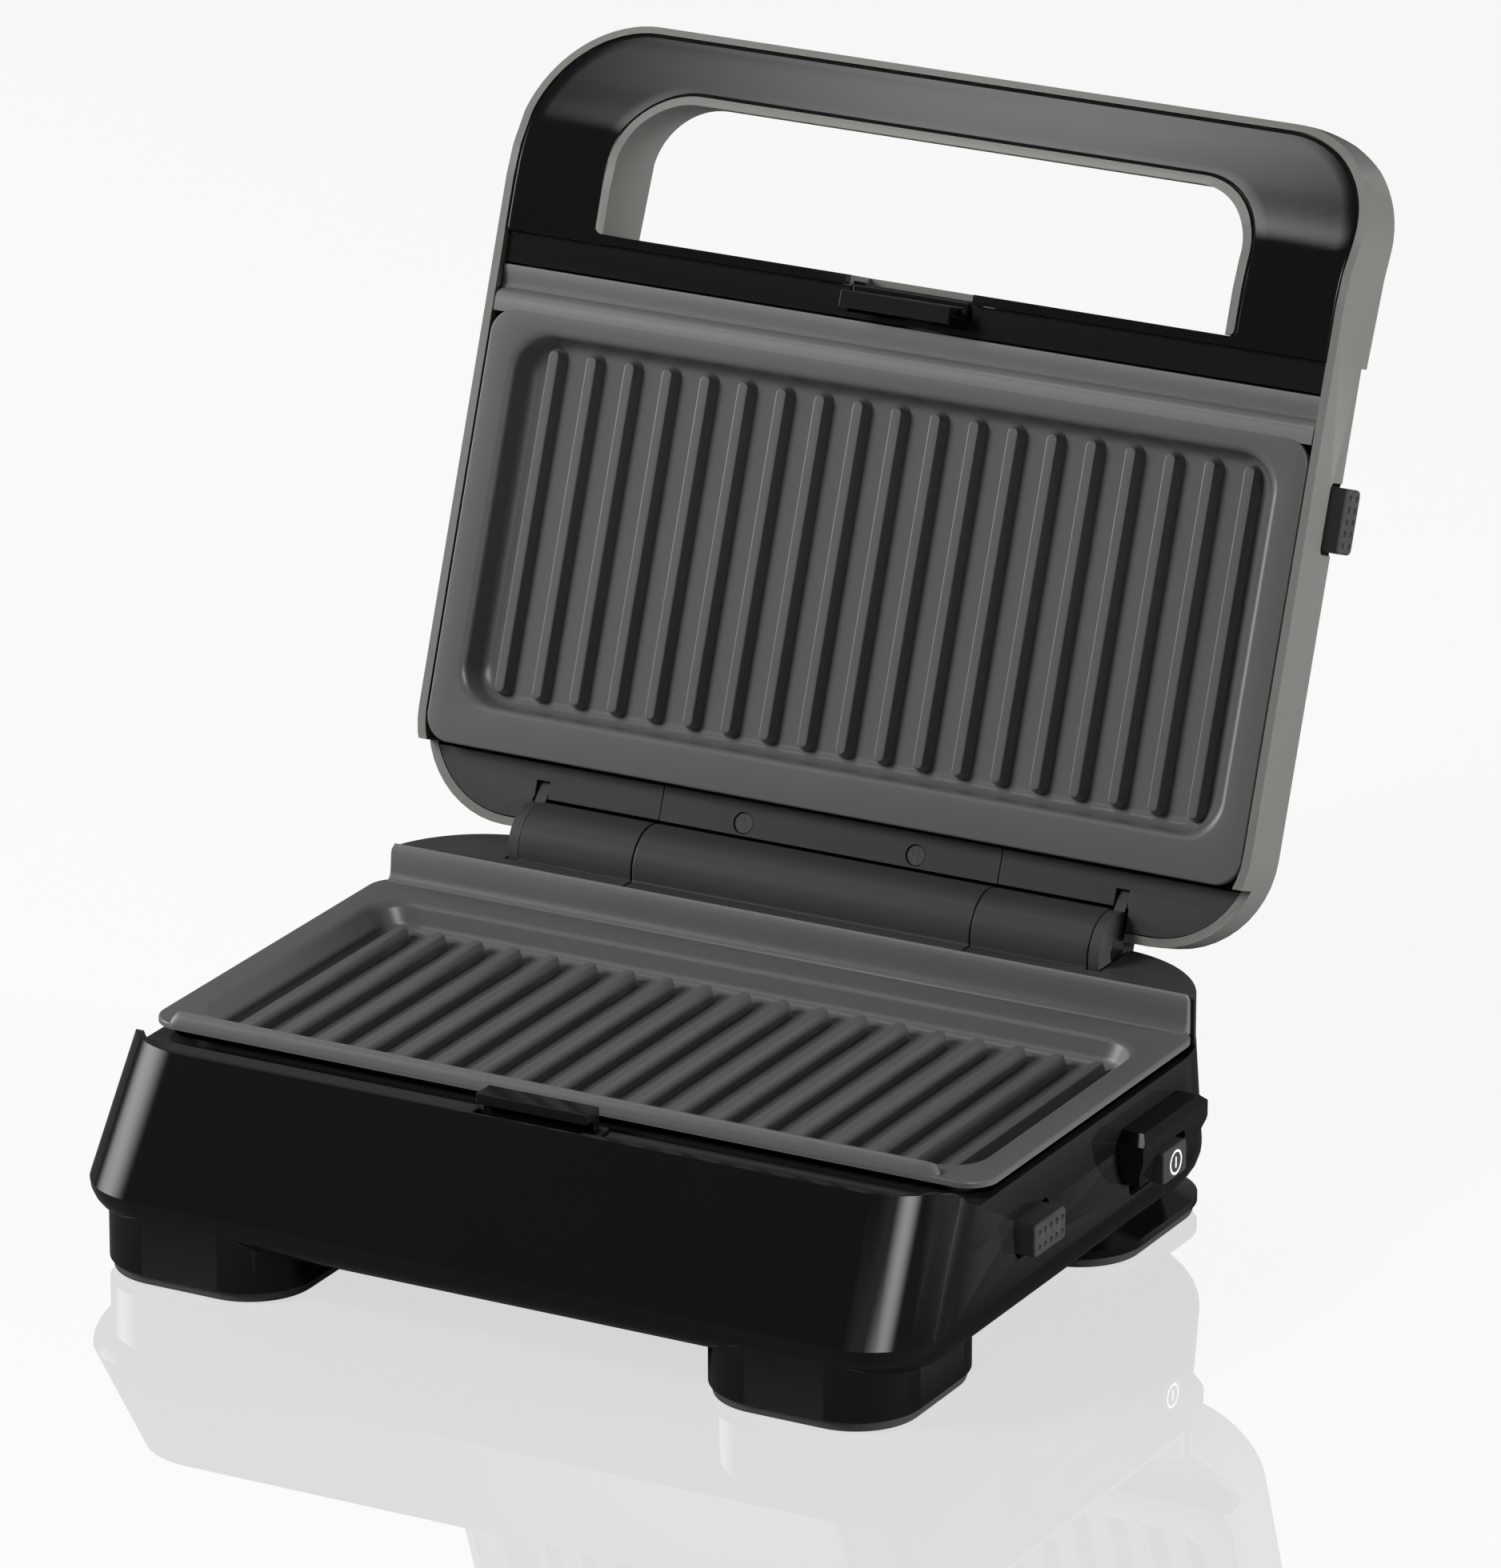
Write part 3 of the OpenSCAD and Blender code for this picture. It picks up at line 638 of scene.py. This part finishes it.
def bar_along(bm, profile, stations):
    """Skins a profile of (y, z) points through stations of (x, scale), about its first point."""
    base_y, base_z = profile[0]
    rings = []
    for x, scale in stations:
        rings.append([Vector((x, base_y + (y - base_y) * min(1, scale + 0.2),
                              base_z + (z - base_z) * scale)) for y, z in profile])
    loft(bm, rings)


def rib_mesh(length, up):
    """One rib with pill-shaped ends, a soft foot, leaning sides and a rounded crest."""
    s = bpy.context.scene.panini_plates
    root, crest, height = s.rib_root / MM / 2, s.rib_crest / MM / 2, s.rib_height / MM
    profile = [(root + 0.25, -0.3), (root + 0.12, 0.05), (root - 0.02, 0.25),
               (crest + 0.22, height - 0.45), (crest + 0.06, height - 0.12),
               (crest - 0.22, height - 0.01), (crest - 0.5, height)]
    steps = 9
    rings = []
    for w, z in profile:
        ring = []
        for end, start in ((length / 2 - root, 0), (-length / 2 + root, 180)):
            for i in range(steps + 1):
                a = math.radians(start + 180 * i / steps)
                ring.append(Vector((w * math.cos(a), end + w * math.sin(a), up * z)))
        rings.append(ring)
    bm = bmesh.new()
    loft(bm, rings, cap_first=False)
    return bm


def ribs_of(name, body, place, y0, y1, z, up):
    s = bpy.context.scene.panini_plates
    bm = rib_mesh(y1 - y0, up)
    bm.transform(place @ Matrix.Translation((0, (y0 + y1) / 2, z)))
    if up < 0:
        bmesh.ops.recalc_face_normals(bm, faces=bm.faces)
    mesh = bpy.data.meshes.new(name + "_one")
    bm.to_mesh(mesh)
    bm.free()
    row = grown(mesh, name, row_tree(), {"Count": s.rib_count, "Spacing": s.rib_pitch,
                                         "Material": nonstick()})
    return finish_piece(row, name, body, None, None, 60)


class PANINI_OT_lower_plate(bpy.types.Operator):
    """Builds the lower plate: tray, front lip, rear upstand and ribs."""

    bl_idname = "panini.lower_plate"
    bl_label = "Lower plate"

    def execute(self, context):
        bm = plate_bowl(half=132.5, y0=-57.5, y1=75, r=9, floor_half=119, floor_y0=-46,
                        floor_y1=57, depth=8.6, thickness=2.4, up=1)
        bmesh.ops.translate(bm, vec=(0, 0, 60), verts=bm.verts)
        lip = [(-57.4, 58.4), (-57.5, 59.6), (-56.4, 61.6), (-55.6, 62.7), (-54.8, 63),
               (-54.2, 62.7), (-53.9, 61.8), (-53.6, 60.2), (-53.4, 58.4)]
        bar_along(bm, lip, [(-125, 0.6), (-124, 0.9), (-122, 1), (112, 1), (116, 0.95),
                            (118, 0.55)])
        rise = [(69, 58.8), (70.6, 60.1), (71.9, 61.2), (72.5, 63), (72.9, 68.5), (73.3, 70.2),
                (74.1, 70.7), (74.8, 70.2), (75, 68.5), (75, 58.8)]
        bar_along(bm, rise, [(-129, 0.9), (-128.3, 1), (128.3, 1), (129, 0.9)])
        piece_from(bm, "lower_plate_cast", "base", ON_BASE, nonstick(), "lower_plate")
        ribs_of("lower_plate_ribs", "base", ON_BASE, y0=-46, y1=53, z=51.4, up=1)
        return {"FINISHED"}


class PANINI_OT_upper_plate(bpy.types.Operator):
    """Builds the upper plate: tray, rolled front edge and ribs."""

    bl_idname = "panini.upper_plate"
    bl_label = "Upper plate"

    def execute(self, context):
        bm = plate_bowl(half=132.1, y0=-57, y1=70.8, r=8, floor_half=119, floor_y0=-49.4,
                        floor_y1=57, depth=8.6, thickness=2.4, up=-1)
        bmesh.ops.translate(bm, vec=(0, 0, 65), verts=bm.verts)
        roll = [(-55.4, 66.6), (-55.6, 65.2), (-57, 65), (-59.5, 65.1), (-61, 65.7),
                (-61.9, 66.8), (-62.6, 67.9), (-64, 68.3), (-66.6, 67.9), (-68.4, 67.2),
                (-69.3, 67.3), (-69.5, 68.1), (-69.2, 68.9), (-55.4, 68.9)]
        bar_along(bm, roll, [(-132.1, 1), (132.1, 1)])
        piece_from(bm, "upper_plate_cast", "lid", ON_LID, nonstick(), "upper_plate")
        ribs_of("upper_plate_ribs", "lid", ON_LID, y0=-47.9, y1=55.1, z=73.6, up=-1)
        return {"FINISHED"}


# ---- casing ----


class PANINI_OT_base(bpy.types.Operator):
    """Builds the gloss black base with its feet, bottom cover and catch."""

    bl_idname = "panini.base"
    bl_label = "Base"

    def execute(self, context):
        rounded_copy("base_housing", "base", gloss_black(), 0.5, 3, 30)
        rounded_copy("latch_catch", "base", gloss_black(), 0.3)
        rounded_copy("bottom_cover", "base", matte_black(), 0.5)
        for side in ("left", "right"):
            rounded_copy("front_leg_" + side, "base", gloss_black(), 0.8, 3)
            rounded_copy("rear_leg_" + side, "base", gloss_black(), 0.6, 3, 40)
        rounded_copy("foot_pads", "base", pad_rubber(), 0.5)
        return {"FINISHED"}


class PANINI_OT_hinge(bpy.types.Operator):
    """Builds the hinge covers of the base and the lid."""

    bl_idname = "panini.hinge"
    bl_label = "Hinge covers"

    def execute(self, context):
        for part in ("left", "centre", "right"):
            rounded_copy("base_hinge_cover_" + part, "base", hinge_grey(), 0.9, 3)
            rounded_copy("lid_rear_cover_" + part, "lid", hinge_grey(), 0.35)
        return {"FINISHED"}


# The handle's underside as (depth, height), and the panel that lies on it.
HANDLE_UNDER = ((-79, 65), (-88, 65), (-95, 65.1), (-101, 65.6), (-107, 66.9), (-113, 69.1),
                (-119, 72), (-126, 75.6), (-137, 80.9), (-144.4, 84.1))
PANEL_GAP = 0.1
LATCH_GAP = 20.4
LATCH_GAP_FRONT = -84.5
EDGE_LIFTS = ((0, 2.1), (0, 0.5), (0.15, 0.2), (0.5, 0.03))


def handle_height(y):
    """Height of the handle's underside at a depth, on a smooth curve through its stations."""
    points = HANDLE_UNDER
    y = min(points[0][0], max(points[-1][0], y))
    for i in range(len(points) - 1):
        (y0, z0), (y1, z1) = points[i], points[i + 1]
        if y1 <= y <= y0:
            before, after = points[max(i - 1, 0)], points[min(i + 2, len(points) - 1)]
            m0 = (z1 - before[1]) / (y1 - before[0])
            m1 = (after[1] - z0) / (after[0] - y0)
            span = y1 - y0
            t = (y - y0) / span
            return ((2 * t**3 - 3 * t**2 + 1) * z0 + (t**3 - 2 * t**2 + t) * m0 * span
                    + (3 * t**2 - 2 * t**3) * z1 + (t**3 - t**2) * m1 * span)
    return points[-1][1]


def dense(ring, step):
    """Adds points to the long runs of a ring, the same number to rings of the same kind."""
    out = []
    for i, p in enumerate(ring):
        q = ring[(i + 1) % len(ring)]
        out.append(p)
        if i % (step + 1) == step:
            out += [p.lerp(q, k / 12) for k in range(1, 12)]
    return out


def handle_face():
    """The dark panel: a rounded band round the window that follows the handle's curve."""
    steps = 12

    def outer(k):
        ring = corner_ring(132.2 - k, -142 + k, -79.3 - k * 0.2, 30 - k, 1, 0, steps)
        return dense(ring, steps)

    def inner(k):
        ring = corner_ring(103.2 + k, -126.2 - k, -82.1 + k * 0.2, 22 + k, 2, 0, steps)
        return dense(ring, steps)

    def on_handle(ring, lift=0):
        return [Vector((p.x, p.y, handle_height(p.y) + PANEL_GAP + lift)) for p in ring]

    rings = [on_handle(outer(k), lift) for k, lift in EDGE_LIFTS]
    a, b = outer(0.9), inner(0.9)
    for i in range(9):
        t = i / 8
        rings.append(on_handle([p.lerp(q, t) for p, q in zip(a, b)]))
    rings += [on_handle(inner(k), lift) for k, lift in reversed(EDGE_LIFTS)]
    bm = bmesh.new()
    rings.append(rings[0])
    loft(bm, rings, False, False)
    bmesh.ops.remove_doubles(bm, verts=bm.verts, dist=1e-4)
    # the panel makes way for the latch
    for x in (-LATCH_GAP, LATCH_GAP):
        bmesh.ops.bisect_plane(bm, geom=bm.verts[:] + bm.edges[:] + bm.faces[:],
                               plane_co=(x, 0, 0), plane_no=(1, 0, 0))
    gone = [f for f in bm.faces
            if abs(f.calc_center_median().x) < LATCH_GAP
            and f.calc_center_median().y > LATCH_GAP_FRONT]
    bmesh.ops.delete(bm, geom=gone, context="FACES")
    bmesh.ops.holes_fill(bm, edges=[e for e in bm.edges if e.is_boundary], sides=0)
    bmesh.ops.recalc_face_normals(bm, faces=bm.faces)
    return bm


class PANINI_OT_lid(bpy.types.Operator):
    """Builds the lid's shell, handle panel, window frame and strip."""

    bl_idname = "panini.lid"
    bl_label = "Lid and handle"

    def execute(self, context):
        rounded_copy("lid_shell", "lid", lid_paint(), 0.7, 3, 30)
        piece_from(handle_face(), "handle_panel_face", "lid", ON_LID, gloss_black(),
                   "handle_panel")
        rounded_copy("window_frame", "lid", lid_paint(), 0.4, 2, 40)
        rounded_copy("lid_front_strip", "lid", gloss_black(), 0.3)
        rounded_copy("latch", "latch", gloss_black(), 0.3)
        return {"FINISHED"}


# ---- controls ----


def across(x, y, z, ring):
    """A flat ring stood up across X, about a point."""
    return [Vector((x, y + p.x, z + p.y)) for p in ring]


def button_cap(y, z, x_face, x_back, width, height, r, crown=0.04):
    """Cap with a slightly crowned face and soft edges, on its stem."""
    bm = bmesh.new()
    rings = []
    soft = 0.8
    levels = [(x_back, 0.4), (x_back + 0.4, 0)] + [
        (x_face - crown - soft + soft * math.sin(math.pi / 2 * i / 5),
         soft * (1 - math.cos(math.pi / 2 * i / 5))) for i in range(6)
    ] + [(x_face - crown * 0.4, 1.9), (x_face, 3.2)]
    for x, inset in levels:
        ring = corner_ring(width / 2 - inset, -height / 2 + inset, height / 2 - inset,
                           max(0.35, r - inset * 0.6), max(0.35, r - inset * 0.6), 0, 6)
        rings.append(across(x, y, z, ring))
    loft(bm, rings)
    return bm


class PANINI_OT_buttons(bpy.types.Operator):
    """Builds the two dimpled plate releases."""

    bl_idname = "panini.buttons"
    bl_label = "Plate releases"

    def execute(self, context):
        s = context.scene.panini_controls
        for name, body, place, y, z, x in (
            ("lower_release_button", "lower_release_button", ON_BASE, -29.5, 38, 139),
            ("upper_release_button", "upper_release_button", ON_LID, -35.8, 82.3, 140),
        ):
            bm = button_cap(y, z, x, x - 13, width=18.6, height=9.6, r=1.6)
            bm.transform(Matrix.Scale(MM, 4))
            mesh = bpy.data.meshes.new(name + "_blank")
            bm.to_mesh(mesh)
            bm.free()
            cap = grown(mesh, name + "_cap", dimple_tree(), {
                "Face": (x * MM + 0.0002, y * MM, z * MM), "Length": 0.0136, "Height": 0.0042,
                "Columns": s.dimple_columns, "Rows": s.dimple_rows, "Radius": s.dimple_radius,
                "Material": button_grey()})
            bm = bmesh.new()
            bm.from_mesh(cap)
            bm.transform(Matrix.Scale(1 / MM, 4))
            loft(bm, [across(sx, y, z, corner_ring(6 - i, -3 + i, 3 - i, 1, 1, 0, 4))
                      for sx, i in ((x - 22.4, 0.3), (x - 22.1, 0), (x - 12.6, 0))])
            bm.transform(place)
            bm.to_mesh(cap)
            bm.free()
            finish_piece(cap, name + "_cap", body, None, name, 35)
        return {"FINISHED"}


class PANINI_OT_power(bpy.types.Operator):
    """Builds the power button's hood, the button and its white mark."""

    bl_idname = "panini.power"
    bl_label = "Power button"

    def execute(self, context):
        rounded_copy("switch_hood", "base", gloss_black(), 0.5, 3)
        y, z, x = 39.9, 34.9, 142.5
        bm = button_cap(y, z, x - 0.06, x - 14.5, width=14.3, height=9.6, r=1.3, crown=0.1)
        loft(bm, [across(sx, y, z, corner_ring(4, -3, 3, 1, 1, 0, 4)) for sx in (x - 18, x - 14)])
        piece_from(bm, "power_button_cap", "power_button", ON_BASE, button_grey(), "power_button")
        r = context.scene.panini_controls.mark_radius / MM
        mark = bmesh.new()
        half = 0.36  # half the width of the mark's ring
        ink = 0.05  # how deep the print goes
        arc = [math.radians(a) for a in range(0, 360, 8)]
        loft_rings = []
        for rr, dx in ((r - half, -ink), (r - half, 0), (r + half, 0), (r + half, -ink)):
            loft_rings.append([Vector((x + dx, y + rr * math.sin(a), z + rr * math.cos(a)))
                               for a in arc])
        loft(mark, loft_rings + [loft_rings[0]], False, False)
        loft(mark, [across(bx, y, z, corner_ring(0.38, -1.7, 1.7, 0.36, 0.36, 0, 4))
                    for bx in (x - ink, x)])
        bmesh.ops.remove_doubles(mark, verts=mark.verts, dist=1e-5)
        piece_from(mark, "power_mark", "power_button", ON_BASE, white_print(), None)
        return {"FINISHED"}


class PANINI_OT_works(bpy.types.Operator):
    """Gives the parts inside, which keep their own form, their finishes."""

    bl_idname = "panini.works"
    bl_label = "Inner works"

    def execute(self, context):
        finishes = {"steel": plated_steel, "sheet_steel": pan_sheet, "heater": heater_sheath,
                    "brass": brass, "ceramic": steatite, "wire": silicone_wire,
                    "matte_black": matte_black, "rubber": pad_rubber, "gloss_black": gloss_black,
                    "hinge_grey": hinge_grey, "button_grey": button_grey, "nonstick": nonstick,
                    "lid_paint": lid_paint}
        for part in frame["record"]["subparts"]:
            node = frame["nodes"][part["node"]]
            node.data.materials.clear()
            node.data.materials.append(finishes[part["material_slot"]]())
        return {"FINISHED"}


# ---- stage ----

# The photo's camera. Lens and sensor are in millimetres, the camera's place in metres.
LENS, SENSOR = 261.93, 36
CAMERA_AT = (1.44495, -2.65137, 1.21331)
CAMERA_TURN = (math.radians(70.104), 0, math.radians(28.585))
# Share of the way from a card's edge to its middle over which the card fades in
CARD_FADE = 0.9


def aim(holder, location, target):
    """Stands a light or a card at a place, facing a target."""
    holder.location = location
    turn = (Vector(target) - Vector(location)).to_track_quat("-Z", "Y")
    holder.rotation_euler = turn.to_euler()


def softbox(name, location, target, size, power):
    lamp = bpy.data.lights.new(name, "AREA")
    lamp.shape = "RECTANGLE"
    lamp.size, lamp.size_y = size
    lamp.energy = power
    holder = bpy.data.objects.new(name, lamp)
    aim(holder, location, target)
    holder.visible_glossy = False
    bpy.context.scene.collection.objects.link(holder)


def card(name, location, target, size, strength):
    """White card with soft edges that only shows as a reflection in the gloss."""
    material = bpy.data.materials.new(name)
    material.use_nodes = True
    tree = material.node_tree
    new, link = tree.nodes.new, tree.links.new
    tree.nodes.clear()
    out = new("ShaderNodeOutputMaterial")
    glow = new("ShaderNodeEmission")
    glow.inputs["Strength"].default_value = strength
    clear = new("ShaderNodeBsdfTransparent")
    faded = new("ShaderNodeMixShader")
    where = new("ShaderNodeUVMap")
    centred = new("ShaderNodeVectorMath")
    centred.operation = "MULTIPLY_ADD"
    centred.inputs[1].default_value = (2, 2, 0)
    centred.inputs[2].default_value = (-1, -1, 0)
    ball = new("ShaderNodeTexGradient")
    ball.gradient_type = "SPHERICAL"
    soft = new("ShaderNodeMapRange")
    soft.interpolation_type = "SMOOTHSTEP"
    soft.inputs["From Max"].default_value = CARD_FADE
    link(where.outputs[0], centred.inputs[0])
    link(centred.outputs[0], ball.inputs[0])
    link(ball.outputs["Fac"], soft.inputs["Value"])
    link(soft.outputs[0], faded.inputs[0])
    link(clear.outputs[0], faded.inputs[1])
    link(glow.outputs[0], faded.inputs[2])
    link(faded.outputs[0], out.inputs["Surface"])
    mesh = bpy.data.meshes.new(name)
    w, h = size[0] / 2, size[1] / 2
    mesh.from_pydata([(-w, -h, 0), (w, -h, 0), (w, h, 0), (-w, h, 0)], [], [(0, 1, 2, 3)])
    uv = mesh.uv_layers.new(name="UVMap")
    for loop, corner in zip(uv.data, ((0, 0), (1, 0), (1, 1), (0, 1))):
        loop.uv = corner
    mesh.materials.append(material)
    holder = bpy.data.objects.new(name, mesh)
    aim(holder, location, target)
    holder.visible_camera = False
    holder.visible_diffuse = False
    holder.visible_shadow = False
    bpy.context.scene.collection.objects.link(holder)


def floor_finish():
    """Pale floor with a faint mirror of what stands on it."""
    material = bpy.data.materials.new("Pale floor")
    material.use_nodes = True
    tree = material.node_tree
    new, link = tree.nodes.new, tree.links.new
    tree.nodes.clear()
    out = new("ShaderNodeOutputMaterial")
    path = new("ShaderNodeLightPath")
    glow = new("ShaderNodeEmission")
    glow.inputs["Strength"].default_value = 0.96
    pale = new("ShaderNodeBsdfDiffuse")
    pale.inputs["Color"].default_value = (0.06, 0.06, 0.06, 1)
    body = new("ShaderNodeAddShader")
    mirror = new("ShaderNodeBsdfGlossy")
    mirror.inputs["Roughness"].default_value = 0
    sheen = new("ShaderNodeFresnel")
    sheen.inputs["IOR"].default_value = 3.2
    seen = new("ShaderNodeMixShader")
    lit = new("ShaderNodeBsdfDiffuse")
    lit.inputs["Color"].default_value = (0.6, 0.6, 0.6, 1)
    dim = new("ShaderNodeBsdfDiffuse")
    dim.inputs["Color"].default_value = (0.1, 0.1, 0.1, 1)
    bounce = new("ShaderNodeMixShader")
    final = new("ShaderNodeMixShader")
    link(glow.outputs[0], body.inputs[0])
    link(pale.outputs[0], body.inputs[1])
    link(sheen.outputs[0], seen.inputs[0])
    link(body.outputs[0], seen.inputs[1])
    link(mirror.outputs[0], seen.inputs[2])
    link(path.outputs["Is Glossy Ray"], bounce.inputs[0])
    link(lit.outputs[0], bounce.inputs[1])
    link(dim.outputs[0], bounce.inputs[2])
    link(path.outputs["Is Camera Ray"], final.inputs[0])
    link(bounce.outputs[0], final.inputs[1])
    link(seen.outputs[0], final.inputs[2])
    link(final.outputs[0], out.inputs["Surface"])
    return material


def studio_room(dim, bright):
    """Dim room, lighter behind the press, that the floor mirrors as a white backdrop."""
    world = bpy.data.worlds.new("Studio")
    bpy.context.scene.world = world
    world.use_nodes = True
    tree = world.node_tree
    new, link = tree.nodes.new, tree.links.new
    air = tree.nodes["Background"]
    air.inputs["Color"].default_value = (1, 1, 1, 1)
    where = new("ShaderNodeTexCoord")
    split = new("ShaderNodeSeparateXYZ")
    backdrop = new("ShaderNodeMapRange")
    backdrop.inputs["From Min"].default_value = 0.0
    backdrop.inputs["From Max"].default_value = 0.55
    backdrop.inputs["To Min"].default_value = dim
    backdrop.inputs["To Max"].default_value = bright
    link(where.outputs["Generated"], split.inputs[0])
    link(split.outputs["Y"], backdrop.inputs["Value"])
    path = new("ShaderNodeLightPath")
    mirrored = new("ShaderNodeMix")
    mirrored.inputs["B"].default_value = 1.0
    link(path.outputs["Is Singular Ray"], mirrored.inputs["Factor"])
    link(backdrop.outputs[0], mirrored.inputs["A"])
    link(mirrored.outputs["Result"], air.inputs["Strength"])


class PANINI_OT_stage(bpy.types.Operator):
    """Sets the camera, the lights, the room and the floor."""

    bl_idname = "panini.stage"
    bl_label = "Stage"

    def execute(self, context):
        s = context.scene.panini_stage
        lens = bpy.data.cameras.new("Camera")
        lens.lens = LENS
        lens.sensor_width = SENSOR
        camera = bpy.data.objects.new("Camera", lens)
        camera.location = CAMERA_AT
        camera.rotation_euler = CAMERA_TURN
        context.scene.collection.objects.link(camera)
        context.scene.camera = camera
        context.scene.view_settings.view_transform = "Standard"
        softbox("Overhead", (-1.05, -1.25, 1.3), (0, 0, 0.12), (0.7, 0.7), s.key_power)
        softbox("Right", (1.7, 0.45, 0.32), (0.13, 0.06, 0.15), (0.5, 0.5), s.side_power)
        softbox("Left", (-1.7, 0.55, 0.5), (0, 0, 0.1), (0.4, 0.9), s.left_power)
        for name, location, target, size, share in (
            ("card_over", (-0.71, -0.37, 1.72), (0, 0.14, 0.29), (0.62, 0.5), 1.8),
            ("card_right", (1.02, -1.09, 1.21), (0.13, -0.1, 0.05), (1.1, 1.3), 3.5),
            ("card_left", (-1.68, -0.53, 0.62), (-0.12, -0.1, 0.05), (2.0, 1.6), 2.4),
        ):
            card(name, location, target, size, s.card_strength * share)
        studio_room(s.front_room, s.back_room)
        bm = bmesh.new()
        bmesh.ops.create_grid(bm, x_segments=4, y_segments=4, size=8)
        bmesh.ops.translate(bm, vec=(0, 0, -0.0003), verts=bm.verts)
        mesh = bpy.data.meshes.new("floor")
        bm.to_mesh(mesh)
        bm.free()
        mesh.materials.append(floor_finish())
        floor = bpy.data.objects.new("floor", mesh)
        context.scene.collection.objects.link(floor)
        return {"FINISHED"}


class PANINI_PT_panel(bpy.types.Panel):
    """Lists the pieces of the press and their settings."""

    bl_idname = "PANINI_PT_panel"
    bl_label = "Panini press"
    bl_space_type = "VIEW_3D"
    bl_region_type = "UI"
    bl_category = "Panini press"

    def draw(self, context):
        scene = context.scene
        for label, settings in (("Finishes", scene.panini_finish),
                                ("Plates", scene.panini_plates),
                                ("Controls", scene.panini_controls),
                                ("Stage", scene.panini_stage)):
            box = self.layout.box()
            box.label(text=label)
            for name in settings.__annotations__:
                box.prop(settings, name)
        for operator in OPERATORS:
            self.layout.operator(operator.bl_idname)


SETTINGS = {
    "panini_finish": FinishSettings,
    "panini_plates": PlateSettings,
    "panini_controls": ControlSettings,
    "panini_stage": StageSettings,
}
OPERATORS = (
    PANINI_OT_works,
    PANINI_OT_base,
    PANINI_OT_lower_plate,
    PANINI_OT_hinge,
    PANINI_OT_lid,
    PANINI_OT_upper_plate,
    PANINI_OT_buttons,
    PANINI_OT_power,
    PANINI_OT_stage,
)


def register():
    for cls in (*SETTINGS.values(), *OPERATORS, PANINI_PT_panel):
        bpy.utils.register_class(cls)
    for name, cls in SETTINGS.items():
        setattr(bpy.types.Scene, name, PointerProperty(type=cls))


def unregister():
    for name in SETTINGS:
        delattr(bpy.types.Scene, name)
    for cls in reversed((*SETTINGS.values(), *OPERATORS, PANINI_PT_panel)):
        bpy.utils.unregister_class(cls)


def main():
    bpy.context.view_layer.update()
    register()
    GROUPS.update(grain=moulded_grain(), drift=surface_drift(), rub=edge_rub())
    for operator in OPERATORS:
        getattr(bpy.ops.panini, operator.bl_idname.split(".")[1])()


if __name__ == "__main__":
    main()
